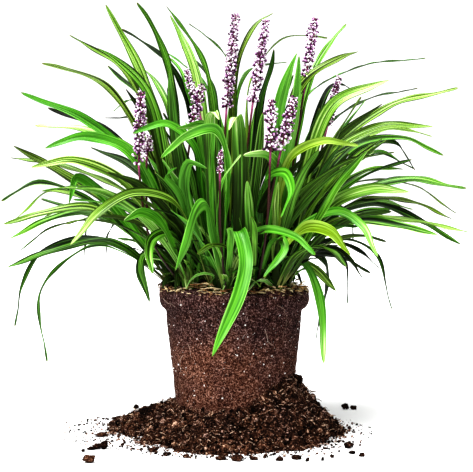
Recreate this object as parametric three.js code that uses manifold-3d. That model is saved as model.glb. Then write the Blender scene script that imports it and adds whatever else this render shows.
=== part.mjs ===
// A flowering liriope (lilyturf) clump, lifted from its nursery pot with the root ball whole.
// Millimetres, +Z up. The origin is the centre of the root ball's flat foot.
//
// The clump is a bundle of leaf tufts. Each tuft is one body: strap leaves fused to a small
// woody crown, which stands in a plain hole in the soil. Flower stems stand in holes of their
// own, and each carries a head of buds. Loose soil lies in a heap round the foot of the ball.

import * as THREE from 'three';
import { mergeVertices } from 'three/addons/utils/BufferGeometryUtils.js';
import Module from 'manifold-3d';

const wasm = await Module();
wasm.setup();

// ---------------------------------------------------------------- driving dimensions, mm

const GAP = 0.3;                    // air between bodies that stand on or in one another

const BALL_HEIGHT = 155;            // soil level of a one-gallon nursery pot
const BALL_FOOT_RADIUS = 59;
const BALL_SHOULDER_RADIUS = 73;    // where the wall meets the band under the rim
const BALL_RIM_RADIUS = 80;         // the band that the pot's rolled rim moulded
const BALL_RIM_DEPTH = 20;
const BALL_SIDES = 44;
const CRUST_HEIGHT = 8;             // a crust of soil left standing on one side of the rim
const CRUST_ANGLE = THREE.MathUtils.degToRad(186);

const HEAP_RADIUS = 127;
const HEAP_LOW_CONTACT = 36;        // how high the loose soil leans on the ball
const HEAP_HIGH_CONTACT = 66;       // and where it is piled highest
const HEAP_HIGH_ANGLE = THREE.MathUtils.degToRad(-22);
const HEAP_EDGE = 2.2;
const HEAP_LUMPS = 3.2;

const CLUMP_REACH = 248;            // the dome that the clump fills: how wide it is,
const CLUMP_WAIST = 196;            // the height of its widest place,
const CLUMP_RISE = 216;             // and how far it rises above that
const CLUMP_FLOOR = 92;             // the lowest that a leaf tip hangs,
const CLUMP_FRONT_FLOOR = 200;      // and the lowest over the front

const TUFT_COUNT = 20;
const TUFT_FIELD_RADIUS = 63;       // the outermost crown's distance from the axis
const CROWN_RADIUS = 8.6;
const CROWN_DEPTH = 9;              // how far a crown reaches into the soil
const CROWN_RISE = 4;               // and how far it stands out
const CROWN_SIDES = 8;
const LEAVES_PER_TUFT = 16;
const LEAF_COUNT = 226;             // of the whole clump
const FILL_ROUNDS = 800;            // tries at growing one more leaf from each crown
const FILL_SEED = 20417;
const FRONT_EYE = { x: 3, y: -1250, z: 240 };   // where the open front is looked at from
const FRONT_MARGIN = 0.5;           // how far fill leaves keep beside what stays open to view
const ROOT_PLACES = 17;             // places on a crown's top where a leaf can grow
const ROOT_FIELD_RADIUS = 6;

const LEAF_THICKNESS = 0.6;         // of the narrowest blade, at the keel
const LEAF_KEEL_SHARE = 0.13;       // how much deeper the keel hangs for each mm of width
const LEAF_ROOT_WIDTH = 0.38;       // of the full width
const LEAF_SHEATH_LENGTH = 22;      // neighbouring leaves of a tuft may join this far up
const LEAF_CLEARANCE = 0.45;        // air between one leaf and anything it isn't joined to
const LEAF_TIP_SECTION = 0.93;      // where the last section before the tip lies, as a share
const SECTION_CLEARANCE = 0.5;      // between one section of a bent blade and the next
const LEAF_BEND_STEP = 0.42;        // radians that a blade turns through between two sections
const MOST_ROLL = 1.8;              // radians that a noted leaf may turn about its own length
const ROLL_STEP = 0.15;

const STEM_RADIUS = 1.35;
const STEM_SIDES = 6;
const STEM_ROOT_DEPTH = 9;
const BUD_ROW = 4.3;                // rows of flower buds up a head
const BUD_COLUMNS = 8;
const HEAD_CORE = 0.66;             // the core that the buds stand out of, of the full radius

const GOLDEN_ANGLE = Math.PI * (3 - Math.sqrt(5));
const UP = new THREE.Vector3(0, 0, 1);

// Flower spikes: the head's foot x, y, z, its tip x, y, z, and its radius.
const SPIKES = [
  [-97, -54, 286, -94, -60, 358, 6.5],
  [-90, -36, 299, -87, -40, 317, 5],
  [-38, 36, 346, -53, 40, 393, 5],
  [-44, 10, 334, -34, 10, 374, 6],
  [-8, 18, 350, 2, 20, 450, 6.3],
  [20, -18, 353, 34, -20, 439, 6.3],
  [76, -10, 378, 86, -10, 444, 6.3],
  [62, 45, 304, 80, 50, 372, 4.6],
  [36, -100, 297, 36, -110, 349, 6.3],
  [47, -82, 299, 60, -90, 352, 6.3],
  [105, 64, 335, 118, 70, 389, 5.2],
  [-13, -126, 276, -12, -140, 297, 3.2],
];

// The leading leaves, those that draw the clump's outline: tip y, share of the blade's width
// turned to the front, width, then x, z where the leaf leaves the clump, half way out, and at
// the tip.
const LEADING_LEAVES = [
  // left side, hanging to arching
  [-30, 0.35, 8, -141, 203, -203, 155, -195, 80],
  [60, 0.5, 9, -138, 208, -223, 185, -246, 108],
  [20, 0.8, 10, -133, 205, -188, 198, -246, 177],
  [-10, 0.7, 10, -132, 237, -183, 240, -244, 224],
  [40, 0.7, 10, -134, 233, -190, 234, -248, 207],
  [90, 0.5, 8, -150, 243, -195, 267, -250, 229],
  [-60, 0.5, 8, -142, 245, -201, 268, -236, 248],
  [70, 0.5, 9, -123, 266, -192, 289, -252, 298],
  [-40, 0.8, 11, -101, 257, -164, 291, -209, 283],
  [10, 0.8, 11, -120, 234, -152, 260, -237, 308],
  [-90, 0.8, 11, -128, 247, -156, 273, -163, 245],
  [110, 0.6, 9, -121, 222, -175, 238, -224, 252],
  [-20, 0.8, 11, -110, 316, -162, 337, -223, 362],
  [60, 0.7, 11, -113, 316, -157, 333, -208, 353],
  [30, 0.7, 10, -112, 308, -163, 327, -217, 331],
  [-70, 0.8, 12, -108, 300, -152, 314, -190, 301],
  [100, 0.7, 10, -93, 277, -127, 295, -165, 311],
  [40, 0.7, 9, -109, 343, -155, 384, -211, 400],
  [0, 0.7, 9, -98, 364, -134, 400, -175, 425],
  [-50, 0.8, 12, -90, 362, -111, 387, -139, 404],
  [60, 0.7, 10, -96, 357, -117, 377, -141, 400],
  [130, 0.5, 8, -105, 361, -127, 363, -142, 355],
  [150, 0.2, 7, -95, 337, -123, 346, -154, 349],
  [160, 0.4, 8, -129, 244, -169, 232, -181, 182],
  [140, 0.4, 8, -112, 233, -144, 219, -153, 182],
  // rising to the upper left
  [-30, 0.8, 12, -78, 332, -96, 381, -133, 452],
  [90, 0.7, 8, -49, 365, -89, 419, -128, 445],
  [20, 0.8, 10, -64, 336, -77, 419, -105, 463],
  [70, 0.5, 10, -22, 363, -39, 415, -76, 468],
  [110, 0.9, 12, -38, 365, -50, 415, -74, 464],
  [140, 0.5, 7, -21, 367, -36, 402, -62, 431],
  [130, 0.5, 9, -24, 355, -39, 391, -78, 423],
  [120, 0.2, 6, 1, 385, -17, 426, -53, 456],
  [100, 0.8, 10, -71, 346, -84, 379, -104, 401],
  [60, 0.8, 9, -46, 360, -58, 392, -71, 408],
  [-60, 0.9, 13, -58, 291, -62, 332, -65, 380],
  // rising to the upper right
  [40, 0.8, 8, 2, 384, 10, 429, 43, 455],
  [120, 0.2, 6, 25, 408, 66, 439, 109, 439],
  [60, 0.8, 9, 77, 363, 97, 412, 125, 446],
  [-20, 0.8, 14, 66, 364, 96, 392, 131, 405],
  [50, 0.8, 10, 26, 347, 37, 375, 44, 417],
  [150, 0.4, 8, 4, 384, 28, 407, 63, 415],
  [-60, 0.9, 15, 44, 322, 50, 362, 64, 398],
  [-110, 0.9, 11, 55, 305, 62, 344, 64, 390],
  [-10, 0.9, 15, 93, 338, 121, 360, 164, 376],
  [105, 0.2, 6, 84, 376, 138, 402, 221, 414],
  // right side, arching to hanging
  [30, 0.8, 9, 105, 311, 156, 347, 244, 372],
  [120, 0.4, 7, 112, 349, 153, 367, 214, 381],
  [140, 0.6, 8, 102, 368, 122, 386, 140, 380],
  [-40, 0.8, 10, 108, 309, 146, 326, 205, 325],
  [60, 0.6, 9, 121, 308, 177, 330, 221, 321],
  [20, 0.7, 10, 114, 295, 171, 319, 227, 298],
  [150, 0.6, 8, 142, 306, 187, 319, 216, 286],
  [100, 0.6, 11, 123, 288, 159, 306, 208, 286],
  [-10, 0.7, 11, 104, 245, 160, 272, 246, 262],
  [110, 0.3, 7, 112, 260, 190, 274, 258, 235],
  [80, 0.5, 9, 116, 238, 179, 254, 252, 227],
  [40, 0.7, 10, 120, 244, 175, 241, 250, 201],
  [-30, 0.5, 9, 91, 223, 164, 231, 246, 216],
  [-60, 0.7, 11, 100, 223, 150, 227, 207, 214],
  [30, 0.4, 8, 82, 201, 149, 199, 173, 130],
  [70, 0.5, 9, 72, 188, 110, 190, 154, 168],
  [110, 0.6, 9, 79, 194, 124, 192, 150, 159],
  [140, 0.5, 9, 85, 200, 136, 198, 174, 169],
  [90, 0.4, 8, 90, 194, 122, 186, 128, 133],
  [120, 0.5, 10, 79, 192, 107, 176, 96, 87],
  [-36, 0.8, 10, 62, 186, 84, 178, 106, 155],
  [160, 0.5, 8, 108, 244, 138, 232, 143, 202],
];

// The leaves over the open front, in the same terms. No other leaf hangs before these.
const FRONT_LEAVES = [
  [-118, 0.98, 14, 2, 224, 12, 182, -21, 97],
  [-140, 0.6, 10, 85, 234, 104, 268, 127, 296],
  [-80, 0.9, 13, 94, 239, 133, 260, 175, 257],
  [-120, 0.7, 9, 68, 222, 115, 237, 139, 194],
  [-70, 0.8, 11, 62, 194, 86, 156, 91, 84],
  [-120, 0.8, 9, 52, 285, 80, 306, 120, 301],
  [-160, 0.9, 12, 62, 217, 85, 224, 109, 197],
  [-130, 0.7, 10, -60, 248, -112, 253, -156, 206],
  [-190, 0.8, 12, -31, 250, -41, 218, -53, 184],
  [-95, 0.85, 12, -50, 259, -45, 286, -26, 280],
  [-140, 0.75, 10, -12, 315, -44, 311, -69, 288],
  [-80, 0.8, 13, -22, 320, -41, 323, -58, 320],
  [-70, 0.75, 11, -49, 323, -75, 326, -102, 316],
  [-170, 0.8, 10, 36, 277, 56, 266, 44, 232],
  [-150, 0.8, 10, 51, 270, 33, 294, 9, 292],
  [-80, 0.9, 10, 24, 278, 26, 310, 29, 336],
  [-100, 0.95, 15, 7, 254, 2, 335, -5, 317],
  [-100, 0.95, 14, -21, 259, -22, 339, -14, 327],
  [-90, 0.6, 6, -21, 234, -21, 279, -20, 330],
  [-130, 0.3, 5, -18, 244, -8, 273, 7, 292],
  [-45, 0.6, 8, 2, 186, 6, 211, 3, 236],
  [-120, 0.5, 7, -52, 249, -67, 272, -55, 280],
  [-130, 0.8, 8, 16, 216, 55, 216, 78, 196],
  [-100, 0.8, 8, 42, 213, 51, 203, 29, 174],
  [-140, 0.8, 10, -70, 223, -87, 237, -104, 229],
  [-110, 0.8, 11, -63, 216, -84, 206, -79, 177],
  [-30, 0.9, 10, -84, 198, -98, 186, -88, 143],
];

// ---------------------------------------------------------------- small helpers

// A repeatable stream of numbers from 0 to 1.
function randomStream(seed) {
  let state = seed >>> 0;
  return () => {
    state = (state + 0x6d2b79f5) >>> 0;
    let mixed = Math.imul(state ^ (state >>> 15), 1 | state);
    mixed = (mixed + Math.imul(mixed ^ (mixed >>> 7), 61 | mixed)) ^ mixed;
    return ((mixed ^ (mixed >>> 14)) >>> 0) / 4294967296;
  };
}

function smoothstep(x, low, high) {
  return THREE.MathUtils.smoothstep(x, low, high);
}

// The geometry as a manifold solid, with its faces turned outward.
function toSolid(geometry) {
  const bare = geometry.clone();
  bare.deleteAttribute('normal');
  bare.deleteAttribute('uv');
  const merged = mergeVertices(bare, 1e-4);
  const vertProperties = new Float32Array(merged.attributes.position.array);
  const triVerts = new Uint32Array(merged.index.array);
  const solid = new wasm.Manifold(new wasm.Mesh({ numProp: 3, vertProperties, triVerts }));
  if (solid.volume() > 0) {
    return solid;
  }
  for (let corner = 0; corner < triVerts.length; corner += 3) {
    [triVerts[corner], triVerts[corner + 1]] = [triVerts[corner + 1], triVerts[corner]];
  }
  return new wasm.Manifold(new wasm.Mesh({ numProp: 3, vertProperties, triVerts }));
}

function toGeometry(solid) {
  const mesh = solid.getMesh();
  const geometry = new THREE.BufferGeometry();
  geometry.setAttribute('position', new THREE.Float32BufferAttribute(mesh.vertProperties, 3));
  geometry.setIndex(Array.from(mesh.triVerts));
  return geometry;
}

// The largest connected body of a solid: loose scraps go, and hollows sealed by fusing fill up.
function largestBody(solid) {
  const bodies = solid.decompose();
  return bodies.reduce((best, body) => (body.volume() > best.volume() ? body : best));
}

// Whether a twisted four-sided facet stands out along its diagonal a-c rather than b-d.
function standsOutAlong(a, b, c, d) {
  const normal = new THREE.Vector3().crossVectors(c.clone().sub(a), d.clone().sub(b));
  const apart = a.clone().add(c).sub(b).sub(d);
  return apart.dot(normal) >= 0;
}

// A closed skin over a row of rings that all have the same number of points, with a flat first
// end and either a flat or a pointed last end. Each facet is folded outward, so that a twisted
// skin keeps its thickness.
function loft(rings, point = null) {
  const sides = rings[0].length;
  const positions = rings.flat().flatMap((p) => [p.x, p.y, p.z]);
  const index = [];
  for (let ring = 0; ring + 1 < rings.length; ring += 1) {
    for (let side = 0; side < sides; side += 1) {
      const next = (side + 1) % sides;
      const [a, b] = [ring * sides + side, ring * sides + next];
      const [c, d] = [b + sides, a + sides];
      const corners = [rings[ring][side], rings[ring][next], rings[ring + 1][next], rings[ring + 1][side]];
      if (standsOutAlong(...corners)) {
        index.push(a, b, c, a, c, d);
      } else {
        index.push(a, b, d, b, c, d);
      }
    }
  }
  for (let side = 1; side + 1 < sides; side += 1) {
    index.push(0, side + 1, side);
  }
  const last = (rings.length - 1) * sides;
  if (point) {
    positions.push(point.x, point.y, point.z);
    for (let side = 0; side < sides; side += 1) {
      index.push(last + side, last + ((side + 1) % sides), last + sides);
    }
  } else {
    for (let side = 1; side + 1 < sides; side += 1) {
      index.push(last, last + side, last + side + 1);
    }
  }
  const geometry = new THREE.BufferGeometry();
  geometry.setAttribute('position', new THREE.Float32BufferAttribute(positions, 3));
  geometry.setIndex(index);
  return geometry;
}

// ---------------------------------------------------------------- the root ball

function ballRadius(z) {
  const shoulderHeight = BALL_HEIGHT - BALL_RIM_DEPTH;
  return THREE.MathUtils.lerp(BALL_FOOT_RADIUS, BALL_SHOULDER_RADIUS, z / shoulderHeight);
}

function angleApart(a, b) {
  return Math.abs(Math.atan2(Math.sin(a - b), Math.cos(a - b)));
}

function rootBallGeometry() {
  const shoulder = BALL_HEIGHT - BALL_RIM_DEPTH;
  const profile = [
    [0, 0],
    [ballRadius(0), 0],
    [ballRadius(shoulder / 2), shoulder / 2],
    [ballRadius(shoulder - 3), shoulder - 3],
    [BALL_RIM_RADIUS - 1.5, shoulder + 1],
    [BALL_RIM_RADIUS, shoulder + 4],
    [BALL_RIM_RADIUS, BALL_HEIGHT - 3],
    [BALL_RIM_RADIUS - 2, BALL_HEIGHT - 0.5],
    [BALL_RIM_RADIUS - 5, BALL_HEIGHT],
    [0, BALL_HEIGHT],
  ];
  const points = profile.map(([r, z]) => new THREE.Vector2(r, z));
  const geometry = new THREE.LatheGeometry(points, BALL_SIDES);
  geometry.rotateX(Math.PI / 2);
  const position = geometry.attributes.position;
  for (let i = 0; i < position.count; i += 1) {
    const angle = Math.atan2(position.getY(i), position.getX(i));
    const radius = Math.hypot(position.getX(i), position.getY(i));
    const onRimTop = radius > BALL_RIM_RADIUS - 3 && position.getZ(i) > BALL_HEIGHT - 4;
    if (onRimTop) {
      const crust = CRUST_HEIGHT * (1 - smoothstep(angleApart(angle, CRUST_ANGLE), 0.12, 0.5));
      const ragged = 0.8 * Math.sin(11 * angle) + 0.5 * Math.sin(23 * angle + 1);
      position.setZ(i, position.getZ(i) + crust + ragged);
    }
  }
  return geometry;
}

// ---------------------------------------------------------------- the heap of loose soil

function heapContactHeight(angle) {
  const rise = HEAP_HIGH_CONTACT - HEAP_LOW_CONTACT;
  return HEAP_LOW_CONTACT + rise * (1 - smoothstep(angleApart(angle, HEAP_HIGH_ANGLE), 0.2, 1.25));
}

function heapOuterRadius(angle) {
  return HEAP_RADIUS - 11 * Math.cos(angle) + 4 * Math.sin(angle) + 4 * Math.sin(3 * angle + 0.6)
    + 2.5 * Math.sin(7 * angle) + 1.5 * Math.sin(12 * angle + 2);
}

// Lumps in the heap's surface, strongest half way down the slope.
function heapLumps(angle, share) {
  const waves = Math.sin(9 * angle + 14 * share) + Math.sin(14 * angle - 19 * share + 2);
  return 0.5 * HEAP_LUMPS * waves * Math.sin(Math.PI * share);
}

function heapGeometry() {
  // The section's share of the way out, from 1 at the ball to 2 at the edge, and whether the
  // point is on the heap's top (1) or under it (0).
  const section = [[1, 0], [2, 0], [2, 1], [1.84, 1], [1.66, 1], [1.46, 1], [1.24, 1], [1, 1], [1, 0]];
  const points = section.map(([share, top]) => new THREE.Vector2(share, top));
  const geometry = new THREE.LatheGeometry(points, BALL_SIDES);
  geometry.rotateX(Math.PI / 2);
  const position = geometry.attributes.position;
  for (let i = 0; i < position.count; i += 1) {
    const angle = Math.atan2(position.getY(i), position.getX(i));
    const share = THREE.MathUtils.clamp(Math.hypot(position.getX(i), position.getY(i)) - 1, 0, 1);
    const onTop = position.getZ(i) > 0.5;
    const slope = (1 - share) ** 1.25 * heapContactHeight(angle) + HEAP_EDGE;
    const height = onTop ? slope + heapLumps(angle, share) : 0;
    const inner = ballRadius(height) + GAP;
    const radius = THREE.MathUtils.lerp(inner, heapOuterRadius(angle), share);
    position.setXYZ(i, radius * Math.cos(angle), radius * Math.sin(angle), height);
  }
  return geometry;
}

// ---------------------------------------------------------------- crowns and their holes

// Crowns stand in a sunflower spiral over the top of the ball.
function tuftCentre(number) {
  const radius = TUFT_FIELD_RADIUS * Math.sqrt((number + 0.4) / (TUFT_COUNT - 0.6));
  const angle = number * GOLDEN_ANGLE;
  return new THREE.Vector2(radius * Math.cos(angle), radius * Math.sin(angle));
}

function crownGeometry(centre, grow = 0) {
  const foot = BALL_HEIGHT - CROWN_DEPTH - grow;
  const points = [
    new THREE.Vector2(0, foot),
    new THREE.Vector2(0.7 * CROWN_RADIUS + grow, foot),
    new THREE.Vector2(CROWN_RADIUS + grow, BALL_HEIGHT + CROWN_RISE),
    new THREE.Vector2(0, BALL_HEIGHT + CROWN_RISE),
  ];
  const geometry = new THREE.LatheGeometry(points, CROWN_SIDES);
  geometry.rotateX(Math.PI / 2);
  geometry.translate(centre.x, centre.y, 0);
  return geometry;
}

// ---------------------------------------------------------------- leaves

function leafWidthShare(along) {
  const widening = THREE.MathUtils.lerp(LEAF_ROOT_WIDTH, 1, smoothstep(along, 0.04, 0.42));
  const taper = 1 - Math.max(0, (along - 0.6) / 0.4) ** 2.8;
  return widening * taper;
}

// The stations of a blade's sections along its length, as shares, without the tip. The more
// the blade bends, the more sections it has.
function leafStations(spine) {
  const sheath = LEAF_SHEATH_LENGTH / spine.getLength();
  const tangents = [0.05, 0.25, 0.5, 0.75, 0.95].map((along) => spine.getTangentAt(along));
  const bends = tangents.slice(1).map((tangent, i) => tangent.angleTo(tangents[i]));
  const bend = bends.reduce((sum, angle) => sum + angle, 0);
  const steps = THREE.MathUtils.clamp(Math.ceil(bend / LEAF_BEND_STEP), 3, 6);
  const stations = [0, sheath];
  for (let step = 1; step < steps; step += 1) {
    stations.push(sheath + (LEAF_TIP_SECTION - sheath) * (step / (steps - 0.5)));
  }
  stations.push(LEAF_TIP_SECTION);
  return stations;
}

// A blade of three-sided section: two edges, and a keel along the underside. The sections of
// the blade are returned with its tip, so that parts of it can be tested on their own.
function bladeSections(leaf) {
  const side = new THREE.Vector3(-Math.sin(leaf.azimuth), Math.cos(leaf.azimuth), 0);
  const rings = leafStations(leaf.spine).map((along) => {
    const centre = leaf.spine.getPointAt(along);
    const tangent = leaf.spine.getTangentAt(along);
    side.addScaledVector(tangent, -side.dot(tangent)).normalize();
    const roll = leaf.roll * THREE.MathUtils.lerp(0.3, 1, smoothstep(along, 0, 0.55));
    const turnedSide = side.clone().applyAxisAngle(tangent, roll);
    const turnedFace = new THREE.Vector3().crossVectors(tangent, turnedSide);
    const half = 0.5 * leaf.width * leafWidthShare(along);
    return [
      centre.clone().addScaledVector(turnedSide, half),
      centre.clone().addScaledVector(turnedSide, -half),
      centre.clone().addScaledVector(turnedFace, -LEAF_THICKNESS - 2 * LEAF_KEEL_SHARE * half),
    ];
  });
  return { rings, tip: leaf.spine.getPointAt(1) };
}

// How a blade's outer half is turned: the mean way that its upper face looks.
function outerFacing(leaf) {
  const { rings } = bladeSections(leaf);
  const facing = new THREE.Vector3();
  for (const [left, right, keel] of rings.slice(Math.floor(0.4 * rings.length))) {
    facing.add(left.clone().add(right).multiplyScalar(0.5).sub(keel).normalize());
  }
  return facing.divideScalar(rings.length - Math.floor(0.4 * rings.length));
}

// The turn of a blade about its own length that shows the given share of its width to the
// front, -Y. A small turn is better than a great one, the upper face better than the under,
// and a side that looks up into the light better than one that looks down.
function rollToShow(leaf, share) {
  let best = { roll: 0, miss: Infinity };
  for (let roll = -MOST_ROLL; roll <= MOST_ROLL; roll += ROLL_STEP) {
    const facing = outerFacing({ ...leaf, roll });
    const isUnderFace = facing.y > 0;
    const lift = isUnderFace ? -facing.z : facing.z;
    const miss = Math.abs(Math.abs(facing.y) - share) + 0.05 * Math.abs(roll)
      + (isUnderFace ? 0.12 : 0) + 0.35 * Math.max(0, -lift);
    if (miss < best.miss) {
      best = { roll, miss };
    }
  }
  return best.roll;
}

// ---------------------------------------------------------------- placing without crossings

function ringBoxes(rings, tip) {
  return rings.map((ring, i) => {
    const stretch = ring.concat(i + 1 < rings.length ? rings[i + 1] : [tip]);
    return new THREE.Box3().setFromPoints(stretch).expandByScalar(LEAF_CLEARANCE / 2);
  });
}

// Whether each section lies wholly past the one before it, so that a tight bend doesn't fold
// the blade through itself.
function sectionsInOrder(rings) {
  const planes = rings.map((ring) => new THREE.Plane().setFromCoplanarPoints(...ring));
  return rings.slice(1).every((ring, i) => (
    ring.every((corner) => planes[i].distanceToPoint(corner) > SECTION_CLEARANCE)
    && rings[i].every((corner) => planes[i + 1].distanceToPoint(corner) < -SECTION_CLEARANCE)
  ));
}

function makeBlade(leaf) {
  const { rings, tip } = bladeSections(leaf);
  if (!sectionsInOrder(rings)) {
    return null;
  }
  return {
    tuft: leaf.tuft,
    whole: toSolid(loft(rings, tip)),
    free: toSolid(loft(rings.slice(1), tip)),
    boxes: ringBoxes(rings, tip),
  };
}

function boxesMeet(first, second) {
  return first.boxes.some((box) => second.boxes.some((other) => box.intersectsBox(other)));
}

function isClear(first, second) {
  if (!boxesMeet(first, second)) {
    return true;
  }
  if (first.tuft !== second.tuft) {
    return first.whole.minGap(second.whole, 2 * LEAF_CLEARANCE) >= LEAF_CLEARANCE;
  }
  return first.free.minGap(second.whole, 2 * LEAF_CLEARANCE) >= LEAF_CLEARANCE
    && first.whole.minGap(second.free, 2 * LEAF_CLEARANCE) >= LEAF_CLEARANCE;
}

// Something that leaves must keep clear of, with the number of its tuft if it is a crown.
function obstacle(geometry, tuft = null) {
  geometry.computeBoundingBox();
  const solid = toSolid(geometry);
  const isCrown = tuft !== null;
  return { tuft, isCrown, whole: solid, free: solid, boxes: [geometry.boundingBox.clone()] };
}

// ---------------------------------------------------------------- flower spikes

function spikeAxis(spike) {
  const [footX, footY, footZ, tipX, tipY, tipZ, radius] = spike;
  return { foot: new THREE.Vector3(footX, footY, footZ), tip: new THREE.Vector3(tipX, tipY, tipZ), radius };
}

function ringAround(centre, direction, radii) {
  const side = new THREE.Vector3(1, 0, 0).cross(direction).normalize();
  const other = new THREE.Vector3().crossVectors(direction, side);
  return radii.map((radius, i) => {
    const angle = (2 * Math.PI * i) / radii.length;
    return centre.clone()
      .addScaledVector(side, radius * Math.cos(angle))
      .addScaledVector(other, radius * Math.sin(angle));
  });
}

// A head of buds: a slim core whose skin is raised to a bud at every second crossing of its
// rows and columns.
function headGeometry({ foot, tip, radius }) {
  const direction = tip.clone().sub(foot);
  const length = direction.length();
  direction.normalize();
  const rows = Math.round(length / BUD_ROW);
  const rings = [];
  for (let row = 0; row <= rows; row += 1) {
    const along = row / rows;
    const swelling = 0.5 + 0.5 * smoothstep(along, 0, 0.12);
    const narrowing = 1 - 0.36 * smoothstep(along, 0.5, 1.02);
    const outline = radius * swelling * narrowing;
    const radii = Array.from({ length: BUD_COLUMNS }, (_, column) => (
      row > 0 && (row + column) % 2 === 0 ? outline : outline * HEAD_CORE
    ));
    rings.push(ringAround(foot.clone().addScaledVector(direction, length * along), direction, radii));
  }
  return loft(rings.slice(0, -1), tip);
}

function stemCurve(root, { foot, tip }) {
  const direction = tip.clone().sub(foot).normalize();
  const top = foot.clone().addScaledVector(direction, -GAP);
  const leaving = new THREE.Vector3(root.x, root.y, BALL_HEIGHT + 4);
  const bend = top.clone().addScaledVector(direction, -0.4 * (top.z - BALL_HEIGHT));
  return new THREE.CatmullRomCurve3([leaving, bend.lerp(leaving, 0.25), top]);
}

// A stem stands straight in its hole, and leans and bends only above the soil.
function stemGeometry(curve) {
  const steps = 4;
  const radii = Array(STEM_SIDES).fill(STEM_RADIUS);
  const bottom = curve.getPointAt(0).setZ(BALL_HEIGHT - STEM_ROOT_DEPTH);
  const rings = [ringAround(bottom, UP, radii), ringAround(curve.getPointAt(0), UP, radii)];
  for (let step = 1; step <= steps; step += 1) {
    rings.push(ringAround(curve.getPointAt(step / steps), curve.getTangentAt(step / steps), radii));
  }
  return loft(rings);
}

function stemHoleGeometry(root) {
  const depth = STEM_ROOT_DEPTH + 2;
  const hole = new THREE.CylinderGeometry(STEM_RADIUS + 2 * GAP, STEM_RADIUS + 2 * GAP, depth, STEM_SIDES);
  hole.rotateX(Math.PI / 2);
  hole.translate(root.x, root.y, BALL_HEIGHT - STEM_ROOT_DEPTH - GAP + depth / 2);
  return hole;
}

// The nearest place to the one wished for where a stem stands clear of crowns and other stems.
function freeStemRoot(wish, crowns, roots) {
  for (let turn = 0; turn < 900; turn += 1) {
    const reach = 0.9 * Math.sqrt(turn);
    const angle = turn * GOLDEN_ANGLE;
    const place = new THREE.Vector2(wish.x + reach * Math.cos(angle), wish.y + reach * Math.sin(angle));
    const clearOfCrowns = crowns.every((c) => c.distanceTo(place) > CROWN_RADIUS + STEM_RADIUS + 1.2);
    const clearOfStems = roots.every((r) => r.distanceTo(place) > 6);
    if (clearOfCrowns && clearOfStems && place.length() < BALL_SHOULDER_RADIUS - 4) {
      return place;
    }
  }
  throw new Error('no room for a flower stem');
}

// ---------------------------------------------------------------- building the clump

const crowns = Array.from({ length: TUFT_COUNT }, (_, i) => tuftCentre(i));
const spikes = SPIKES.map(spikeAxis);
const stemRoots = [];
for (const spike of spikes) {
  const wish = new THREE.Vector2(0.62 * spike.foot.x, 0.5 * spike.foot.y).clampLength(0, 60);
  stemRoots.push(freeStemRoot(wish, crowns, stemRoots));
}
const stems = spikes.map((spike, i) => stemGeometry(stemCurve(stemRoots[i], spike)));
const heads = spikes.map(headGeometry);

const placed = [];
let soilBall = toSolid(rootBallGeometry());
for (const centre of crowns) {
  soilBall = soilBall.subtract(toSolid(crownGeometry(centre, GAP)));
}
for (const root of stemRoots) {
  soilBall = soilBall.subtract(toSolid(stemHoleGeometry(root)));
}
const soilHeap = heapGeometry();
placed.push(obstacle(toGeometry(soilBall)));
placed.push(obstacle(soilHeap));
crowns.forEach((centre, i) => placed.push(obstacle(crownGeometry(centre), i)));
for (const geometry of [...stems, ...heads]) {
  placed.push(obstacle(geometry));
}

// The places on a crown's top that leaves can still grow from.
const freePlaces = crowns.map((centre) => Array.from({ length: ROOT_PLACES }, (_, i) => {
  const radius = ROOT_FIELD_RADIUS * Math.sqrt((i + 0.5) / ROOT_PLACES);
  const angle = i * GOLDEN_ANGLE;
  return new THREE.Vector3(
    centre.x + radius * Math.cos(angle),
    centre.y + radius * Math.sin(angle),
    BALL_HEIGHT + 0.5,
  );
}));

// The free places of a tuft, with those on the side that the leaf goes to first.
function leafRoots(tuft, azimuth, spread) {
  const wish = new THREE.Vector3(
    crowns[tuft].x + spread * Math.cos(azimuth),
    crowns[tuft].y + spread * Math.sin(azimuth),
    BALL_HEIGHT + 0.5,
  );
  return [...freePlaces[tuft]].sort((a, b) => a.distanceTo(wish) - b.distanceTo(wish));
}

// Where a point is seen from the front: its place on the plane through the axis, and its depth.
function seenFromFront(point) {
  const nearness = -FRONT_EYE.y / (point.y - FRONT_EYE.y);
  const x = FRONT_EYE.x + (point.x - FRONT_EYE.x) * nearness;
  const z = FRONT_EYE.z + (point.z - FRONT_EYE.z) * nearness;
  return { x, z, depth: point.y };
}

// Places that stay open to view from the front, each with the reach kept free round it.
const openPlaces = [];

function keepOpen(points, reach) {
  openPlaces.push(...points.map((point) => ({ ...seenFromFront(point), reach })));
}

function hidesOpenPlace(spine, width) {
  return spine.getSpacedPoints(18).slice(3).map(seenFromFront).some((seen) => (
    openPlaces.some((place) => (
      seen.depth < place.depth
      && Math.hypot(seen.x - place.x, seen.z - place.z) < place.reach + 0.45 * width + FRONT_MARGIN
    ))
  ));
}

for (const { foot, tip, radius } of spikes) {
  keepOpen(new THREE.LineCurve3(foot, tip).getSpacedPoints(8), radius);
}

const tufts = crowns.map(() => []);

function tryLeaf(leaf) {
  const blade = makeBlade(leaf);
  if (!blade) {
    return false;
  }
  const isOwnCrown = (other) => other.tuft === leaf.tuft && other.isCrown;
  if (!placed.every((other) => isOwnCrown(other) || isClear(blade, other))) {
    return false;
  }
  placed.push(blade);
  tufts[leaf.tuft].push(blade);
  freePlaces[leaf.tuft] = freePlaces[leaf.tuft].filter((place) => place !== leaf.root);
  return true;
}

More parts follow.
